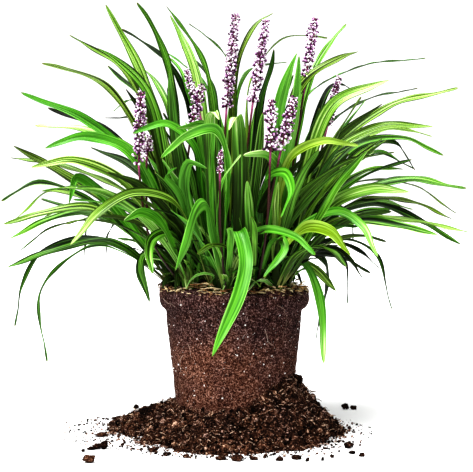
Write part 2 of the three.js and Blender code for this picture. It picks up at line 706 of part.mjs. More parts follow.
// A noted leaf passes through its three places. It grows from the nearest crown, and at the
// nearest depth, that keep it clear of the leaves already there.
function placeNotedLeaf([tipY, frontShare, width, nearX, nearZ, midX, midZ, tipX, tipZ]) {
  const wish = new THREE.Vector2(0.55 * nearX, 0.34 * tipY).clampLength(0, 58);
  const byDistance = crowns.map((c, i) => i).sort((a, b) => (
    crowns[a].distanceTo(wish) - crowns[b].distanceTo(wish)
  ));
  for (const shift of [0, 12, -12, 24, -24, 38, -38]) {
    for (const tuft of byDistance.slice(0, 7)) {
      if (tufts[tuft].length >= LEAVES_PER_TUFT) {
        continue;
      }
      const azimuth = Math.atan2(tipY + shift - crowns[tuft].y, tipX - crowns[tuft].x);
      for (const root of leafRoots(tuft, azimuth, 4.5).slice(0, 3)) {
        const depth = (share) => THREE.MathUtils.lerp(root.y, tipY + shift, share);
        const spine = new THREE.CatmullRomCurve3([
          root,
          new THREE.Vector3(nearX, depth(0.45), nearZ),
          new THREE.Vector3(midX, depth(0.75), midZ),
          new THREE.Vector3(tipX, depth(1), tipZ),
        ], false, 'centripetal');
        const leaf = { tuft, root, azimuth, spine, width };
        leaf.roll = rollToShow(leaf, frontShare);
        if (tryLeaf(leaf)) {
          return spine;
        }
      }
    }
  }
  throw new Error(`no room for the leaf with its tip at ${tipX}, ${tipZ}`);
}

for (const row of FRONT_LEAVES) {
  const spine = placeNotedLeaf(row);
  keepOpen(spine.getSpacedPoints(12).slice(7), 0.3 * row[2]);
}
LEADING_LEAVES.forEach(placeNotedLeaf);

// An arching spine: it starts steeply, leans over as it goes, and swings a little sideways.
function archingSpine(root, azimuth, length, rise, droop, swing) {
  const points = [root];
  const steps = 5;
  for (let step = 1; step <= steps; step += 1) {
    const along = (step - 0.5) / steps;
    const slope = rise - droop * along ** 1.4;
    const heading = azimuth + swing * along;
    const stride = length / steps;
    points.push(points[step - 1].clone().add(new THREE.Vector3(
      stride * Math.cos(slope) * Math.cos(heading),
      stride * Math.cos(slope) * Math.sin(heading),
      stride * Math.sin(slope),
    )));
  }
  return new THREE.CatmullRomCurve3(points, false, 'centripetal');
}

// The clump keeps inside a dome, and over the front no leaf hangs before the ball.
function insideClump(tip) {
  const reach = Math.hypot(tip.x, tip.y) / CLUMP_REACH;
  const height = (tip.z - CLUMP_WAIST) / CLUMP_RISE;
  const floor = tip.y < -40 ? CLUMP_FRONT_FLOOR - 0.16 * Math.abs(tip.x) : CLUMP_FLOOR;
  return reach ** 2 + height ** 2 < 1 && tip.z > floor;
}

function leafTotal() {
  return tufts.reduce((sum, blades) => sum + blades.length, 0);
}

const random = randomStream(FILL_SEED);
for (let round = 0; round < FILL_ROUNDS; round += 1) {
  for (let tuft = 0; tuft < TUFT_COUNT; tuft += 1) {
    if (tufts[tuft].length >= LEAVES_PER_TUFT || leafTotal() >= LEAF_COUNT) {
      continue;
    }
    const outward = Math.atan2(crowns[tuft].y, crowns[tuft].x);
    const looseness = 2.9 - 1.2 * (crowns[tuft].length() / TUFT_FIELD_RADIUS);
    const azimuth = outward + looseness * (random() - 0.5);
    const lean = random();
    const length = 120 + 180 * random();
    const rise = 1.42 - 0.42 * lean;
    const droop = 0.35 + 1.75 * lean * random() + 0.35 * lean;
    const root = leafRoots(tuft, azimuth, 5 * lean)[0];
    const spine = archingSpine(root, azimuth, length, rise, droop, 0.6 * (random() - 0.5));
    const width = 6.5 + 5.5 * random();
    const roll = 1.5 * (random() - 0.5);
    if (insideClump(spine.getPoint(1)) && !hidesOpenPlace(spine, width)) {
      tryLeaf({ tuft, root, azimuth, spine, width, roll });
    }
  }
}

// ---------------------------------------------------------------- the finished part

const part = new THREE.Group();

function addMesh(name, geometry, colour, roughness) {
  const material = new THREE.MeshStandardMaterial({ color: colour, roughness, metalness: 0 });
  const mesh = new THREE.Mesh(geometry, material);
  mesh.name = name;
  part.add(mesh);
}

function number(i) {
  return String(i + 1).padStart(2, '0');
}

addMesh('soil_root_ball', toGeometry(soilBall), 0x4a2c20, 0.95);
addMesh('loose_soil_heap', toGeometry(toSolid(soilHeap)), 0x2e1c15, 1);
crowns.forEach((centre, i) => {
  let clump = toSolid(crownGeometry(centre));
  for (const blade of tufts[i]) {
    clump = clump.add(blade.whole);
  }
  addMesh(`leaf_tuft_${number(i)}`, toGeometry(largestBody(clump)), 0x3f9a1f, 0.4);
});
stems.forEach((geometry, i) => addMesh(`flower_stem_${number(i)}`, geometry, 0x7a2c5c, 0.55));
heads.forEach((geometry, i) => addMesh(`flower_head_${number(i)}`, geometry, 0xa678b8, 0.6));

export default part;
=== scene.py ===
"""Looks of a flowering liriope clump that stands on its bare root ball in a low heap of soil.

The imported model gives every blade, stem and spike its place. This script rebuilds each of them
finely around those places, dresses it in procedural finishes, and sets a plain white studio.
Lengths are in millimetres up to MeshDraft.build, which turns them to metres.
"""

import itertools
import logging
import math
from dataclasses import dataclass, field
from enum import Enum

import bpy
import numpy as np
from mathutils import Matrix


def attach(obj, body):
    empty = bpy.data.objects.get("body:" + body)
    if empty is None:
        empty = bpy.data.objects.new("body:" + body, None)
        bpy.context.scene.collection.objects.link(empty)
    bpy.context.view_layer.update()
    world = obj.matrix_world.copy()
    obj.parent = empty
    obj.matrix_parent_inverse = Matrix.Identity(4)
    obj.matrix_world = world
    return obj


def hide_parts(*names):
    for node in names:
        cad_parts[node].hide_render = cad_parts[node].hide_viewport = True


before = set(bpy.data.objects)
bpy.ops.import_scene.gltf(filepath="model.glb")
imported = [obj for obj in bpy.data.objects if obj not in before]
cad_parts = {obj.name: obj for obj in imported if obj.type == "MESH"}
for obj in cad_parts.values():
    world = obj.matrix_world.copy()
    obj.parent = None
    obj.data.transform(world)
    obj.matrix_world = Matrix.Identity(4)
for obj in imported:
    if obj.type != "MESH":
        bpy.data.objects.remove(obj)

MM = 0.001
FULL_TURN = 2 * math.pi
GOLDEN_ANGLE = math.pi * (3 - math.sqrt(5))
Ramp = tuple[tuple[float, str], ...]  # positions and hex colours
Range = tuple[float, float]
Layer = tuple[float, float, int]  # a depth, a spacing and what picks the pattern
Skew = tuple[float, float, float]  # a common size, a rare one, and how rare that is
log = logging.getLogger("liriope")


# ------------------------------------------------------------------ small shared helpers


def linear(code: str) -> tuple[float, float, float, float]:
    """Turns an sRGB hex colour to linear light.

    Args:
        code: the colour as "#rrggbb".

    Returns:
        Red, green, blue and alpha, in linear light.
    """
    shares = [int(code[i : i + 2], 16) / 255 for i in (1, 3, 5)]
    light = [s / 12.92 if s <= 0.04045 else ((s + 0.055) / 1.055) ** 2.4 for s in shares]
    return (*light, 1.0)


def smooth(value: np.ndarray | float, low: float, high: float) -> np.ndarray:
    """Eases a value from 0 at low to 1 at high."""
    share = np.clip((value - low) / (high - low), 0, 1)
    return share * share * (3 - 2 * share)


def unit(vectors: np.ndarray) -> np.ndarray:
    """Scales each vector to a length of 1."""
    return vectors / np.maximum(np.linalg.norm(vectors, axis=-1, keepdims=True), 1e-12)


def facing(angle: float) -> np.ndarray:
    """The level direction at an angle round the axis, as x and y."""
    return np.array([math.cos(angle), math.sin(angle)])


def around(radius: np.ndarray | float, angle: np.ndarray | float, z: np.ndarray | float) -> np.ndarray:
    """The places at a radius, at an angle round the axis and at a height."""
    return np.stack(np.broadcast_arrays(radius * np.cos(angle), radius * np.sin(angle), z), axis=-1)


def turn_between(angle: np.ndarray | float, other: float) -> np.ndarray:
    """How far apart two angles are, from 0 to half a turn."""
    return np.abs((angle - other + math.pi) % FULL_TURN - math.pi)


def full_turn(count: int) -> np.ndarray:
    """Evenly spaced angles for the vertices of a ring."""
    return np.arange(count) * FULL_TURN / count


def scrambled(cells: np.ndarray, seed: int) -> np.ndarray:
    """Gives each whole-numbered cell its own number from 0 to 1.

    Args:
        cells: whole numbers, with the three coordinates in the last axis.
        seed: picks the pattern.

    Returns:
        One number for each cell.
    """
    mixed = cells[..., 0] * 73856093 ^ cells[..., 1] * 19349663 ^ cells[..., 2] * 83492791
    mixed = (mixed + seed * 374761393) & 0xFFFFFFFF
    mixed = ((mixed ^ (mixed >> 15)) * 2246822519) & 0xFFFFFFFF
    mixed = ((mixed ^ (mixed >> 13)) * 3266489917) & 0xFFFFFFFF
    return ((mixed ^ (mixed >> 16)) & 0xFFFFFF) / 0xFFFFFF


def drift(points: np.ndarray, spacing: float, seed: int) -> np.ndarray:
    """Smooth random relief.

    Args:
        points: places, one in each row.
        spacing: the distance between one swell and the next.
        seed: picks the pattern.

    Returns:
        A height from -1 to 1 at each place.
    """
    cell = np.floor(points / spacing).astype(np.int64)
    part = points / spacing - cell
    ease = part * part * (3 - 2 * part)
    total = np.zeros(len(points))
    for corner in itertools.product((0, 1), repeat=3):
        step = np.array(corner)
        weight = np.prod(np.where(step == 1, ease, 1 - ease), axis=1)
        total += weight * (2 * scrambled(cell + step, seed) - 1)
    return total


def granules(points: np.ndarray, spacing: float, seed: int) -> tuple[np.ndarray, np.ndarray]:
    """Relief of packed round crumbs, each with a size of its own.

    Args:
        points: places, one in each row.
        spacing: the mean distance between the crumbs.
        seed: picks the pattern.

    Returns:
        The crumb's height at each place from 0 to 1, and a number from 0 to 1 that all of one
        crumb shares.
    """
    cell = np.floor(points / spacing).astype(np.int64)
    height, owner = np.zeros(len(points)), np.full(len(points), 0.5)
    for corner in itertools.product((-1, 0, 1), repeat=3):
        near = cell + np.array(corner)
        shift = np.stack([scrambled(near, seed + axis) for axis in range(3)], axis=1)
        reach = 0.55 + 0.45 * scrambled(near, seed + 3)
        away = np.linalg.norm(points / spacing - near - shift, axis=1) / reach
        dome = reach * np.sqrt(np.clip(1 - away * away, 0, 1))
        owner = np.where(dome > height, scrambled(near, seed + 4), owner)
        height = np.maximum(height, dome)
    return height, owner


def swells(points: np.ndarray, *layers: Layer) -> np.ndarray:
    """Adds up layers of drift, each given by its depth, its spacing and its pattern."""
    return sum(depth * drift(points, spacing, seed) for depth, spacing, seed in layers)


def waves(angle: np.ndarray | float, layers: tuple[tuple[float, float, float], ...]) -> np.ndarray:
    """Adds up waves round a ring, each given by its height, its count and its phase."""
    return sum(height * np.sin(count * angle + phase) for height, count, phase in layers)


def any_angle(draw: np.random.Generator) -> float:
    """Draws an angle from all the way round."""
    return draw.uniform(0, FULL_TURN)


def skewed(draw: np.random.Generator, common: float, rare: float, power: float) -> float:
    """Draws a number between two, the nearer to the common one the greater the power is."""
    return common + (rare - common) * draw.uniform() ** power


def roughened(
    points: np.ndarray, depth: float, spacing: float, seed: int, draw: np.random.Generator
) -> np.ndarray:
    """How far out each point of a unit ball goes once the ball is broken rough.

    Args:
        points: the ball's vertices.
        depth: how deep the breaks are, as a share of its radius.
        spacing: the distance between one swell and the next.
        seed: picks the pattern.
        draw: the random stream that picks a place in the pattern.

    Returns:
        A factor for each vertex, one in each row.
    """
    return (1 + depth * drift(points + draw.uniform(0, 50, 3), spacing, seed))[:, None]


def eased_curve(knots: np.ndarray, counts: list[int]) -> np.ndarray:
    """A centripetal Catmull-Rom curve through the knots.

    Args:
        knots: the places that the curve runs through.
        counts: how many steps each span between two knots gets.

    Returns:
        The places along the curve, from the first knot to the last.
    """
    padded = np.vstack([2 * knots[0] - knots[1], knots, 2 * knots[-1] - knots[-2]])
    gaps = np.maximum(np.linalg.norm(np.diff(padded, axis=0), axis=1), 1e-6) ** 0.5
    times = np.concatenate([[0], np.cumsum(gaps)])
    places = []
    for span, count in enumerate(counts):
        p, t = padded[span : span + 4], times[span : span + 4]
        for now in t[1] + (t[2] - t[1]) * np.arange(count) / count:
            a = [((t[i + 1] - now) * p[i] + (now - t[i]) * p[i + 1]) / (t[i + 1] - t[i]) for i in range(3)]
            b = [((t[i + 2] - now) * a[i] + (now - t[i]) * a[i + 1]) / (t[i + 2] - t[i]) for i in range(2)]
            places.append(((t[2] - now) * b[0] + (now - t[1]) * b[1]) / (t[2] - t[1]))
    return np.array(places + [knots[-1]])


def length_shares(points: np.ndarray) -> np.ndarray:
    """The share of a line's length that lies before each of its points."""
    travelled = np.concatenate([[0], np.cumsum(np.linalg.norm(np.diff(points, axis=0), axis=1))])
    return travelled / travelled[-1]


def grid_quads(rows: int, columns: int) -> np.ndarray:
    """Quads between rings whose vertices are numbered ring by ring.

    Args:
        rows: the number of rings.
        columns: the number of vertices in a ring.

    Returns:
        Four vertex numbers for each quad.
    """
    row, column = np.meshgrid(np.arange(rows - 1), np.arange(columns), indexing="ij")
    after = (column + 1) % columns
    corners = [row * columns + column, row * columns + after]
    corners += [(row + 1) * columns + after, (row + 1) * columns + column]
    return np.stack([c.ravel() for c in corners], axis=1)


def end_fans(rows: int, columns: int) -> list[np.ndarray]:
    """Triangles that close the first and the last ring of a grid.

    Args:
        rows: the number of rings.
        columns: the number of vertices in a ring.

    Returns:
        The triangles of each end. The vertex after the rings is the first ring's middle, and
        the one after that is the last ring's.
    """
    here = np.arange(columns)
    ring = np.stack([here, (here + 1) % columns], axis=1)
    first, last = rows * columns, (rows - 1) * columns
    middles = [np.full((columns, 1), first), np.full((columns, 1), first + 1)]
    return [np.hstack([ring[:, ::-1], middles[0]]), np.hstack([ring + last, middles[1]])]


@dataclass
class MeshDraft:
    """A mesh in the making. Parts are added one by one, each with its own marks.

    A mark is a number at each vertex that a finish can read by name.
    """

    mark_names: tuple[str, ...]
    points: list[np.ndarray] = field(default_factory=list)
    faces: list[list[int]] = field(default_factory=list)
    marks: list[np.ndarray] = field(default_factory=list)
    slots: list[np.ndarray] = field(default_factory=list)
    size: int = 0

    def add(self, points: np.ndarray, faces: list[np.ndarray], slot: int = 0, **marks: object) -> None:
        """Adds a part.

        Args:
            points: its vertices, in millimetres.
            faces: arrays of vertex numbers, counted from the part's first vertex.
            slot: the number of its finish.
            marks: a value, or one for each vertex, for each mark's name.
        """
        for group in faces:
            self.faces.extend((group + self.size).tolist())
            self.slots.append(np.full(len(group), slot))
        columns = [np.broadcast_to(marks.get(name, 0.0), len(points)) for name in self.mark_names]
        self.marks.append(np.stack(columns, axis=1))
        self.points.append(points)
        self.size += len(points)

    def build(self, name: str, finishes: list[bpy.types.Material]) -> bpy.types.Object:
        """Makes the object.

        Args:
            name: the piece's name.
            finishes: its materials, by slot.

        Returns:
            The new object, in metres.
        """
        mesh = bpy.data.meshes.new(name)
        mesh.from_pydata((np.vstack(self.points) * MM).tolist(), [], self.faces)
        mesh.shade_smooth()
        values = np.vstack(self.marks).astype(np.float32)
        for column, mark in enumerate(self.mark_names):
            layer = mesh.attributes.new(mark, "FLOAT", "POINT")
            layer.data.foreach_set("value", np.ascontiguousarray(values[:, column]))
        for finish in finishes:
            mesh.materials.append(finish)
        mesh.polygons.foreach_set("material_index", np.concatenate(self.slots).astype(np.int32))
        mesh.validate()
        piece = bpy.data.objects.new(name, mesh)
        bpy.context.scene.collection.objects.link(piece)
        return piece


def tube(line: np.ndarray, radii: np.ndarray, sides: int) -> tuple[np.ndarray, list[np.ndarray]]:
    """A closed tube along a line.

    Args:
        line: its centre line.
        radii: its radius at each point of the line, or for each side too, one row a point.
        sides: the number of sides.

    Returns:
        Its vertices, with the middles of its two ends last, and its faces.
    """
    along = unit(np.gradient(line, axis=0))
    across = np.zeros_like(line)
    start = np.eye(3)[np.argmin(np.abs(along[0]))]
    for i, tangent in enumerate(along):
        start = unit(start - tangent * start.dot(tangent))
        across[i] = start
    turn = full_turn(sides)[:, None]
    spokes = across[:, None] * np.cos(turn) + np.cross(along, across)[:, None] * np.sin(turn)
    reach = np.broadcast_to(radii if np.ndim(radii) == 2 else np.reshape(radii, (-1, 1)), (len(line), sides))
    rings = line[:, None] + spokes * reach[..., None]
    points = np.vstack([rings.reshape(-1, 3), line[0], line[-1]])
    return points, [grid_quads(len(line), sides), *end_fans(len(line), sides)]


def pebble(rows: int, columns: int) -> tuple[np.ndarray, list[np.ndarray]]:
    """A unit ball of quads with fans at its poles, to be scaled and roughened.

    Args:
        rows: rings of vertices between the poles.
        columns: vertices in a ring.

    Returns:
        Its vertices, from the lower pole's ring up, then both poles, and its faces.
    """
    tilt = (-math.pi / 2 + math.pi * np.arange(1, rows + 1) / (rows + 1))[:, None]
    rings = around(np.cos(tilt), full_turn(columns), np.sin(tilt))
    points = np.vstack([rings.reshape(-1, 3), [0, 0, -1], [0, 0, 1]])
    return points, [grid_quads(rows, columns), *end_fans(rows, columns)]


def random_turn(draw: np.random.Generator) -> np.ndarray:
    """A random rotation matrix."""
    axes, _ = np.linalg.qr(draw.normal(size=(3, 3)))
    return axes * np.sign(np.linalg.det(axes))


def packed_shape(node: str) -> tuple[np.ndarray, list[set[int]]]:
    """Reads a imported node's vertices, joined where they meet.

    Args:
        node: the node's name.

    Returns:
        Its vertices in millimetres, and the neighbours of each.
    """
    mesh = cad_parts[node].data
    flat = np.zeros(len(mesh.vertices) * 3, np.float32)
    mesh.vertices.foreach_get("co", flat)
    points, joined = np.unique(flat.reshape(-1, 3), axis=0, return_inverse=True)
    joined = joined.ravel()
    neighbours = [set() for _ in points]
    for face in mesh.polygons:
        corners = [int(joined[v]) for v in face.vertices]
        for corner in corners:
            neighbours[corner].update(c for c in corners if c != corner)
    return points.astype(float) / MM, neighbours


def dressed(piece: bpy.types.Object, node: str = "") -> bpy.types.Object:
    """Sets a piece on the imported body, in the place of a node where it stands for one.

    Args:
        piece: the new piece.
        node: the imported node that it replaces, if any.

    Returns:
        The piece.
    """
    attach(piece, "root")
    if node:
        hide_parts(node)
    return piece


# ------------------------------------------------------------------ finishes


def add_node(
    tree: bpy.types.NodeTree,
    kind: str,
    inputs: dict | None = None,
    output: int | str = 0,
    stops: Ramp = (),
    **options: object,
) -> bpy.types.NodeSocket:
    """Adds a node with its settings and links.

    Args:
        tree: the node tree that it joins.
        kind: its type without the "ShaderNode" in front.
        inputs: a value, or the output that feeds it, for each socket's name or number.
        output: the name or number of the output that is wanted.
        stops: a colour ramp's positions and hex colours.
        options: the node's properties.

    Returns:
        The wanted output.
    """
    node = tree.nodes.new("ShaderNode" + kind)
    for name, value in options.items():
        setattr(node, name, value)
    for socket, value in (inputs or {}).items():
        if isinstance(value, bpy.types.NodeSocket):
            tree.links.new(value, node.inputs[socket])
        else:
            node.inputs[socket].default_value = value
    for number, (position, code) in enumerate(stops):
        elements = node.color_ramp.elements
        stop = elements[number] if number < 2 else elements.new(position)
        stop.position = position
        stop.color = linear(code)
    return node.outputs[output] if node.outputs else None


def new_tree(name: str) -> tuple[bpy.types.Material, bpy.types.NodeTree]:
    """Starts an empty node material.

    Args:
        name: the material's name.

    Returns:
        The material and its node tree.
    """
    material = bpy.data.materials.new(name)
    material.use_nodes = True
    material.node_tree.nodes.clear()
    return material, material.node_tree


def read_mark(tree: bpy.types.NodeTree, name: str) -> bpy.types.NodeSocket:
    """The output that gives a mesh's mark."""
    return add_node(tree, "Attribute", output="Fac", attribute_name=name)


@dataclass(frozen=True)
class LivingLeafFinish:
    """Waxy strap leaf: satin upper face, duller and more olive underside, veins along its length.

    The veins give the fine lengthwise streaks, strongest on olive leaves. The thin margin shows
    dark on most leaves, and on some it carries a pale painted highlight. The wax gives the whitish
    sheen on the bends of light young leaves, and the light that comes through gives a yellow-green glow.
    """

    veins_across: float = 4.2  # drawn coarser than the real 14 veins or so, so that they show
    vein_depth_mm: float = 0.5
    streaks_along: float = 2.2
    patches_across: float = 2.4
    leaves_apart: float = 57.0
    vein_tone: float = 0.25
    patch_tone: float = 0.1
    vivid_calm: float = 0.48
    margin_tone: float = -0.2
    # painted highlight: how pale the margin is drawn on some leaves
    margin_highlight: float = 0.32
    wax_gloss: float = 0.42
    bare_gloss: float = 0.08
    roughness: float = 0.36
    under_roughness: float = 0.6
    through_share: float = 0.13
    glow_share: float = 0.55
    vivid: Ramp = (
        (0.0, "#020601"), (0.2, "#0c2405"), (0.42, "#245c10"), (0.6, "#409616"),
        (0.76, "#67ba32"), (0.9, "#9bd270"), (1.0, "#dcecb4"),
    )
    olive: Ramp = (
        (0.0, "#030501"), (0.2, "#172005"), (0.42, "#415711"), (0.6, "#6f922b"),
        (0.76, "#9ab94b"), (0.9, "#b8ce6e"), (1.0, "#e0ecae"),
    )
    yellowed: str = "#a4d022"
    base_pale: str = "#a2a25c"
    under_olive: str = "#5f7f35"
    tip_brown: str = "#8a6a34"
    glow: str = "#a8cf58"

    def material(self) -> bpy.types.Material:
        """Builds the finish. It reads the marks across, along, tone, under, salt and olive.

        Returns:
            The material.
        """
        material, tree = new_tree("living_leaf")
        across, along, tone, under, salt, olive = (
            read_mark(tree, name) for name in ("across", "along", "tone", "under", "salt", "olive")
        )
        veins, stretch, offset = (
            add_node(tree, "Math", {0: mark, 1: times}, operation="MULTIPLY")
            for mark, times in (
                (across, self.veins_across), (along, self.streaks_along), (salt, self.leaves_apart)
            )
        )
        vein, patch = (
            add_node(tree, "TexNoise", {"Vector": place, "Scale": scale, "Detail": detail}, "Fac")
            for place, scale, detail in (
                (add_node(tree, "CombineXYZ", {0: veins, 1: stretch, 2: offset}), 1.0, 2.0),
                (add_node(tree, "CombineXYZ", {0: across, 1: stretch, 2: offset}), self.patches_across, 1.0),
            )
        )
        edge = add_node(tree, "Math", {0: across}, operation="ABSOLUTE")
        calm = add_node(tree, "MapRange", {"Value": olive, 1: 0.16, 2: 0.35, 3: self.vivid_calm, 4: 1.0})
        # the margin: dark on leaves whose salt is high, and a painted pale highlight where salt is low
        dark_or_highlit_margin = {"Value": salt, 1: 0.25, 2: 0.35, 3: self.margin_highlight, 4: self.margin_tone}
        edging = add_node(tree, "MapRange", dark_or_highlit_margin)
        margin, ridge, furrow = (
            add_node(tree, "Math", {0: calm, 1: most}, operation="MULTIPLY")
            for most in (edging, self.vein_tone, -self.vein_tone)
        )
        shifts = (
            (vein, 0.38, 0.62, furrow, ridge),
            (patch, 0.25, 0.75, -self.patch_tone, self.patch_tone),
            (edge, 0.76, 0.98, 0.0, margin),
        )
        for source, low, high, least, most in shifts:
            shift = add_node(tree, "MapRange", {"Value": source, 1: low, 2: high, 3: least, 4: most})
            tone = add_node(tree, "Math", {0: tone, 1: shift}, operation="ADD")
        greens = [add_node(tree, "ValToRGB", {"Fac": tone}, stops=run) for run in (self.vivid, self.olive)]
        colour = add_node(tree, "Mix", {0: olive, 6: greens[0], 7: greens[1]}, 2, data_type="RGBA")
        overlays = (
            (olive, 1.0, 1.4, 0.55, self.yellowed),
            (under, 0.0, 1.0, 0.16, self.under_olive),
            (along, 0.18, 0.06, 0.55, self.base_pale),
            (along, 0.985, 1.0, 0.4, self.tip_brown),
        )
        for source, low, high, most, code in overlays:
            limits = {"Value": source, 1: low, 2: high, 3: 0.0, 4: most}
            share = add_node(tree, "MapRange", limits, interpolation_type="SMOOTHSTEP")
            colour = add_node(tree, "Mix", {0: share, 6: colour, 7: linear(code)}, 2, data_type="RGBA")
        rough, wax = (
            add_node(tree, "MapRange", {"Value": source, 1: low, 2: high, 3: least, 4: most})
            for source, low, high, least, most in (
                (under, 0.0, 1.0, self.roughness, self.under_roughness),
                (tone, 0.35, 0.7, self.bare_gloss, self.wax_gloss),
            )
        )
        bump = add_node(tree, "Bump", {"Strength": 0.6, "Distance": self.vein_depth_mm * MM, "Height": vein})
        blade = {"Base Color": colour, "Roughness": rough, "Normal": bump, "Specular IOR Level": wax}
        skin = add_node(tree, "BsdfPrincipled", blade)
        glowing = {0: self.glow_share, 6: colour, 7: linear(self.glow)}
        lit = add_node(tree, "Mix", glowing, 2, data_type="RGBA", blend_type="MULTIPLY")
        through = add_node(tree, "BsdfTranslucent", {"Color": lit, "Normal": bump})
        both = add_node(tree, "MixShader", {0: self.through_share, 1: skin, 2: through})
        add_node(tree, "OutputMaterial", {"Surface": both})
        return material


@dataclass(frozen=True)
class PlainGrowthFinish:
    """Matt to satin plant tissue or grit whose colour runs along a ramp by one of the marks.

    The ramp gives the run of colour, and the fine noise gives the fibres, cells or grains that
    break it up.
    """

    name: str
    ramp: Ramp
    mark: str = "salt"
    roughness: float = 0.6
    gloss: float = 0.25
    grain_mm: float = 1.5
    grain_share: float = 0.3
    grain_depth_mm: float = 0.2

    def material(self) -> bpy.types.Material:
        """Builds the finish. It reads the mark that it is told to.

        Returns:
            The material.
        """
        material, tree = new_tree(self.name)
        place = add_node(tree, "TexCoord", output="Object")
        grains = {"Vector": place, "Scale": 1 / (self.grain_mm * MM), "Detail": 2.0}
        grain = add_node(tree, "TexNoise", grains, "Fac")
        limits = {"Value": grain, 1: 0.25, 2: 0.75, 3: -self.grain_share, 4: self.grain_share}
        shift = add_node(tree, "MapRange", limits)
        toned = add_node(tree, "Math", {0: read_mark(tree, self.mark), 1: shift}, operation="ADD")
        depth = {"Strength": 0.5, "Distance": self.grain_depth_mm * MM, "Height": grain}
        tissue = {
            "Base Color": add_node(tree, "ValToRGB", {"Fac": toned}, stops=self.ramp),
            "Normal": add_node(tree, "Bump", depth),
            "Roughness": self.roughness,
            "Specular IOR Level": self.gloss,
        }
        add_node(tree, "OutputMaterial", {"Surface": add_node(tree, "BsdfPrincipled", tissue)})
        return material


@dataclass(frozen=True)
class PottingSoilFinish:
    """Peat and bark fines: matt, near black where damp and red-brown where drying.

    The crumbs' own marks give each granule its tone, and the noise between them the dust.
    """

    name: str
    damp: Ramp
    dry: Ramp
    patch_mm: float
    grain_mm: float = 1.5  # real fines are 0.2 to 0.5 mm, drawn coarser so that they show
    grain_tone: float = 0.72
    patch_share: float = 0.35
    grain_depth_mm: float = 0.5
    roughness: float = 0.95
    gloss: float = 0.04

    def material(self) -> bpy.types.Material:
        """Builds the finish. It reads the marks crumb and dryness.

        Returns:
            The material.
        """
        material, tree = new_tree(self.name)
        place = add_node(tree, "TexCoord", output="Object")
        mixed, noises = [], []
        for mark, size, rough, most in (
            ("crumb", self.grain_mm, 0.75, self.grain_tone),
            ("dryness", self.patch_mm, 0.6, self.patch_share),
        ):
            grains = {"Vector": place, "Scale": 1 / (size * MM), "Detail": 3.0, "Roughness": rough}
            noises.append(add_node(tree, "TexNoise", grains, "Fac"))
            shift = add_node(tree, "MapRange", {"Value": noises[-1], 1: 0.3, 2: 0.7, 3: -most, 4: most})
            inputs = {0: read_mark(tree, mark), 1: shift}
            mixed.append(add_node(tree, "Math", inputs, operation="ADD", use_clamp=True))
        damp, dry = (
            add_node(tree, "ValToRGB", {"Fac": mixed[0]}, stops=run) for run in (self.damp, self.dry)
        )
        relief = {"Strength": 0.9, "Distance": self.grain_depth_mm * MM, "Height": noises[0]}
        soil = {
            "Base Color": add_node(tree, "Mix", {0: mixed[1], 6: damp, 7: dry}, 2, data_type="RGBA"),
            "Normal": add_node(tree, "Bump", relief),
            "Roughness": self.roughness,
            "Specular IOR Level": self.gloss,
        }
        add_node(tree, "OutputMaterial", {"Surface": add_node(tree, "BsdfPrincipled", soil)})
        return material


# Dead leaf bases and sheaths: dry, matt and straw coloured, browner where they rot.
STRAW = PlainGrowthFinish(
    "dry_straw",
    ((0.0, "#1d0f08"), (0.35, "#6a4526"), (0.65, "#b8925e"), (1.0, "#f0dcb0")),
    roughness=0.8,
    gloss=0.1,
)
# Scape skin: satin, magenta under the flowers and purple-brown lower down.
SCAPE = PlainGrowthFinish(
    "scape_skin",
    ((0.0, "#1e120a"), (0.5, "#3c1a15"), (0.75, "#5c2430"), (1.0, "#a3447a")),
    mark="rise",
    roughness=0.42,
    grain_share=0.12,
)
# Closed buds: soft satin lilac, drawn dark magenta at the foot as painted shade and near white at the tip as
# a painted highlight.
BUD = PlainGrowthFinish(
    "bud_petals",
    ((0.0, "#1a0414"), (0.28, "#672a60"), (0.5, "#bd8cbc"), (0.72, "#e8cee4"), (1.0, "#fffcfd")),
    mark="petal",
    roughness=0.5,
    grain_mm=1.2,
    grain_share=0.12,
)
# Perlite: white puffed grit, dusty and matt.
PERLITE = PlainGrowthFinish(
    "perlite_grit", ((0.0, "#b9aea6"), (1.0, "#ffffff")), roughness=0.9, gloss=0.1, grain_mm=0.8
)
# Young roots: pale threads, a little translucent in life, drawn as matt skin.
ROOT = PlainGrowthFinish(
    "root_skin", ((0.0, "#5f4437"), (0.6, "#9c8273"), (1.0, "#d9c8bb")), roughness=0.8, gloss=0.1
)
# Soil of the ball: pressed by the pot to a fine, even grain, warmer where it dries.
BALL_SOIL = PottingSoilFinish(
    "root_ball_soil",
    damp=((0.0, "#050202"), (0.4, "#291715"), (0.75, "#5f423f"), (1.0, "#9d8480")),
    dry=((0.0, "#0a0302"), (0.4, "#3c2016"), (0.75, "#744b3b"), (1.0, "#a98573")),
    patch_mm=24.0,
)
# Soil of the heap: loose, so that dark gaps, deepened with painted shade, and light bits stand apart.
HEAP_SOIL = PottingSoilFinish(
    "loose_soil",
    damp=((0.0, "#010000"), (0.45, "#160a06"), (0.76, "#533528"), (1.0, "#b3968a")),
    dry=((0.0, "#020101"), (0.45, "#351d11"), (0.76, "#7d543e"), (1.0, "#dcc0a4")),
    patch_mm=14.0,
    grain_mm=1.8,
    grain_tone=0.6,
)


# ------------------------------------------------------------------ leaves


class LeafTone(Enum):
    """A leaf's green: how light it is, and how far from vivid to olive."""

    DEEP = (0.27, 0.35)
    OLIVE = (0.38, 0.95)
    MIDDLE = (0.45, 0.4)
    VIVID = (0.62, 0.16)
    LIME = (0.57, 0.8)
    PALE = (0.7, 0.6)
    YELLOW = (0.66, 1.2)


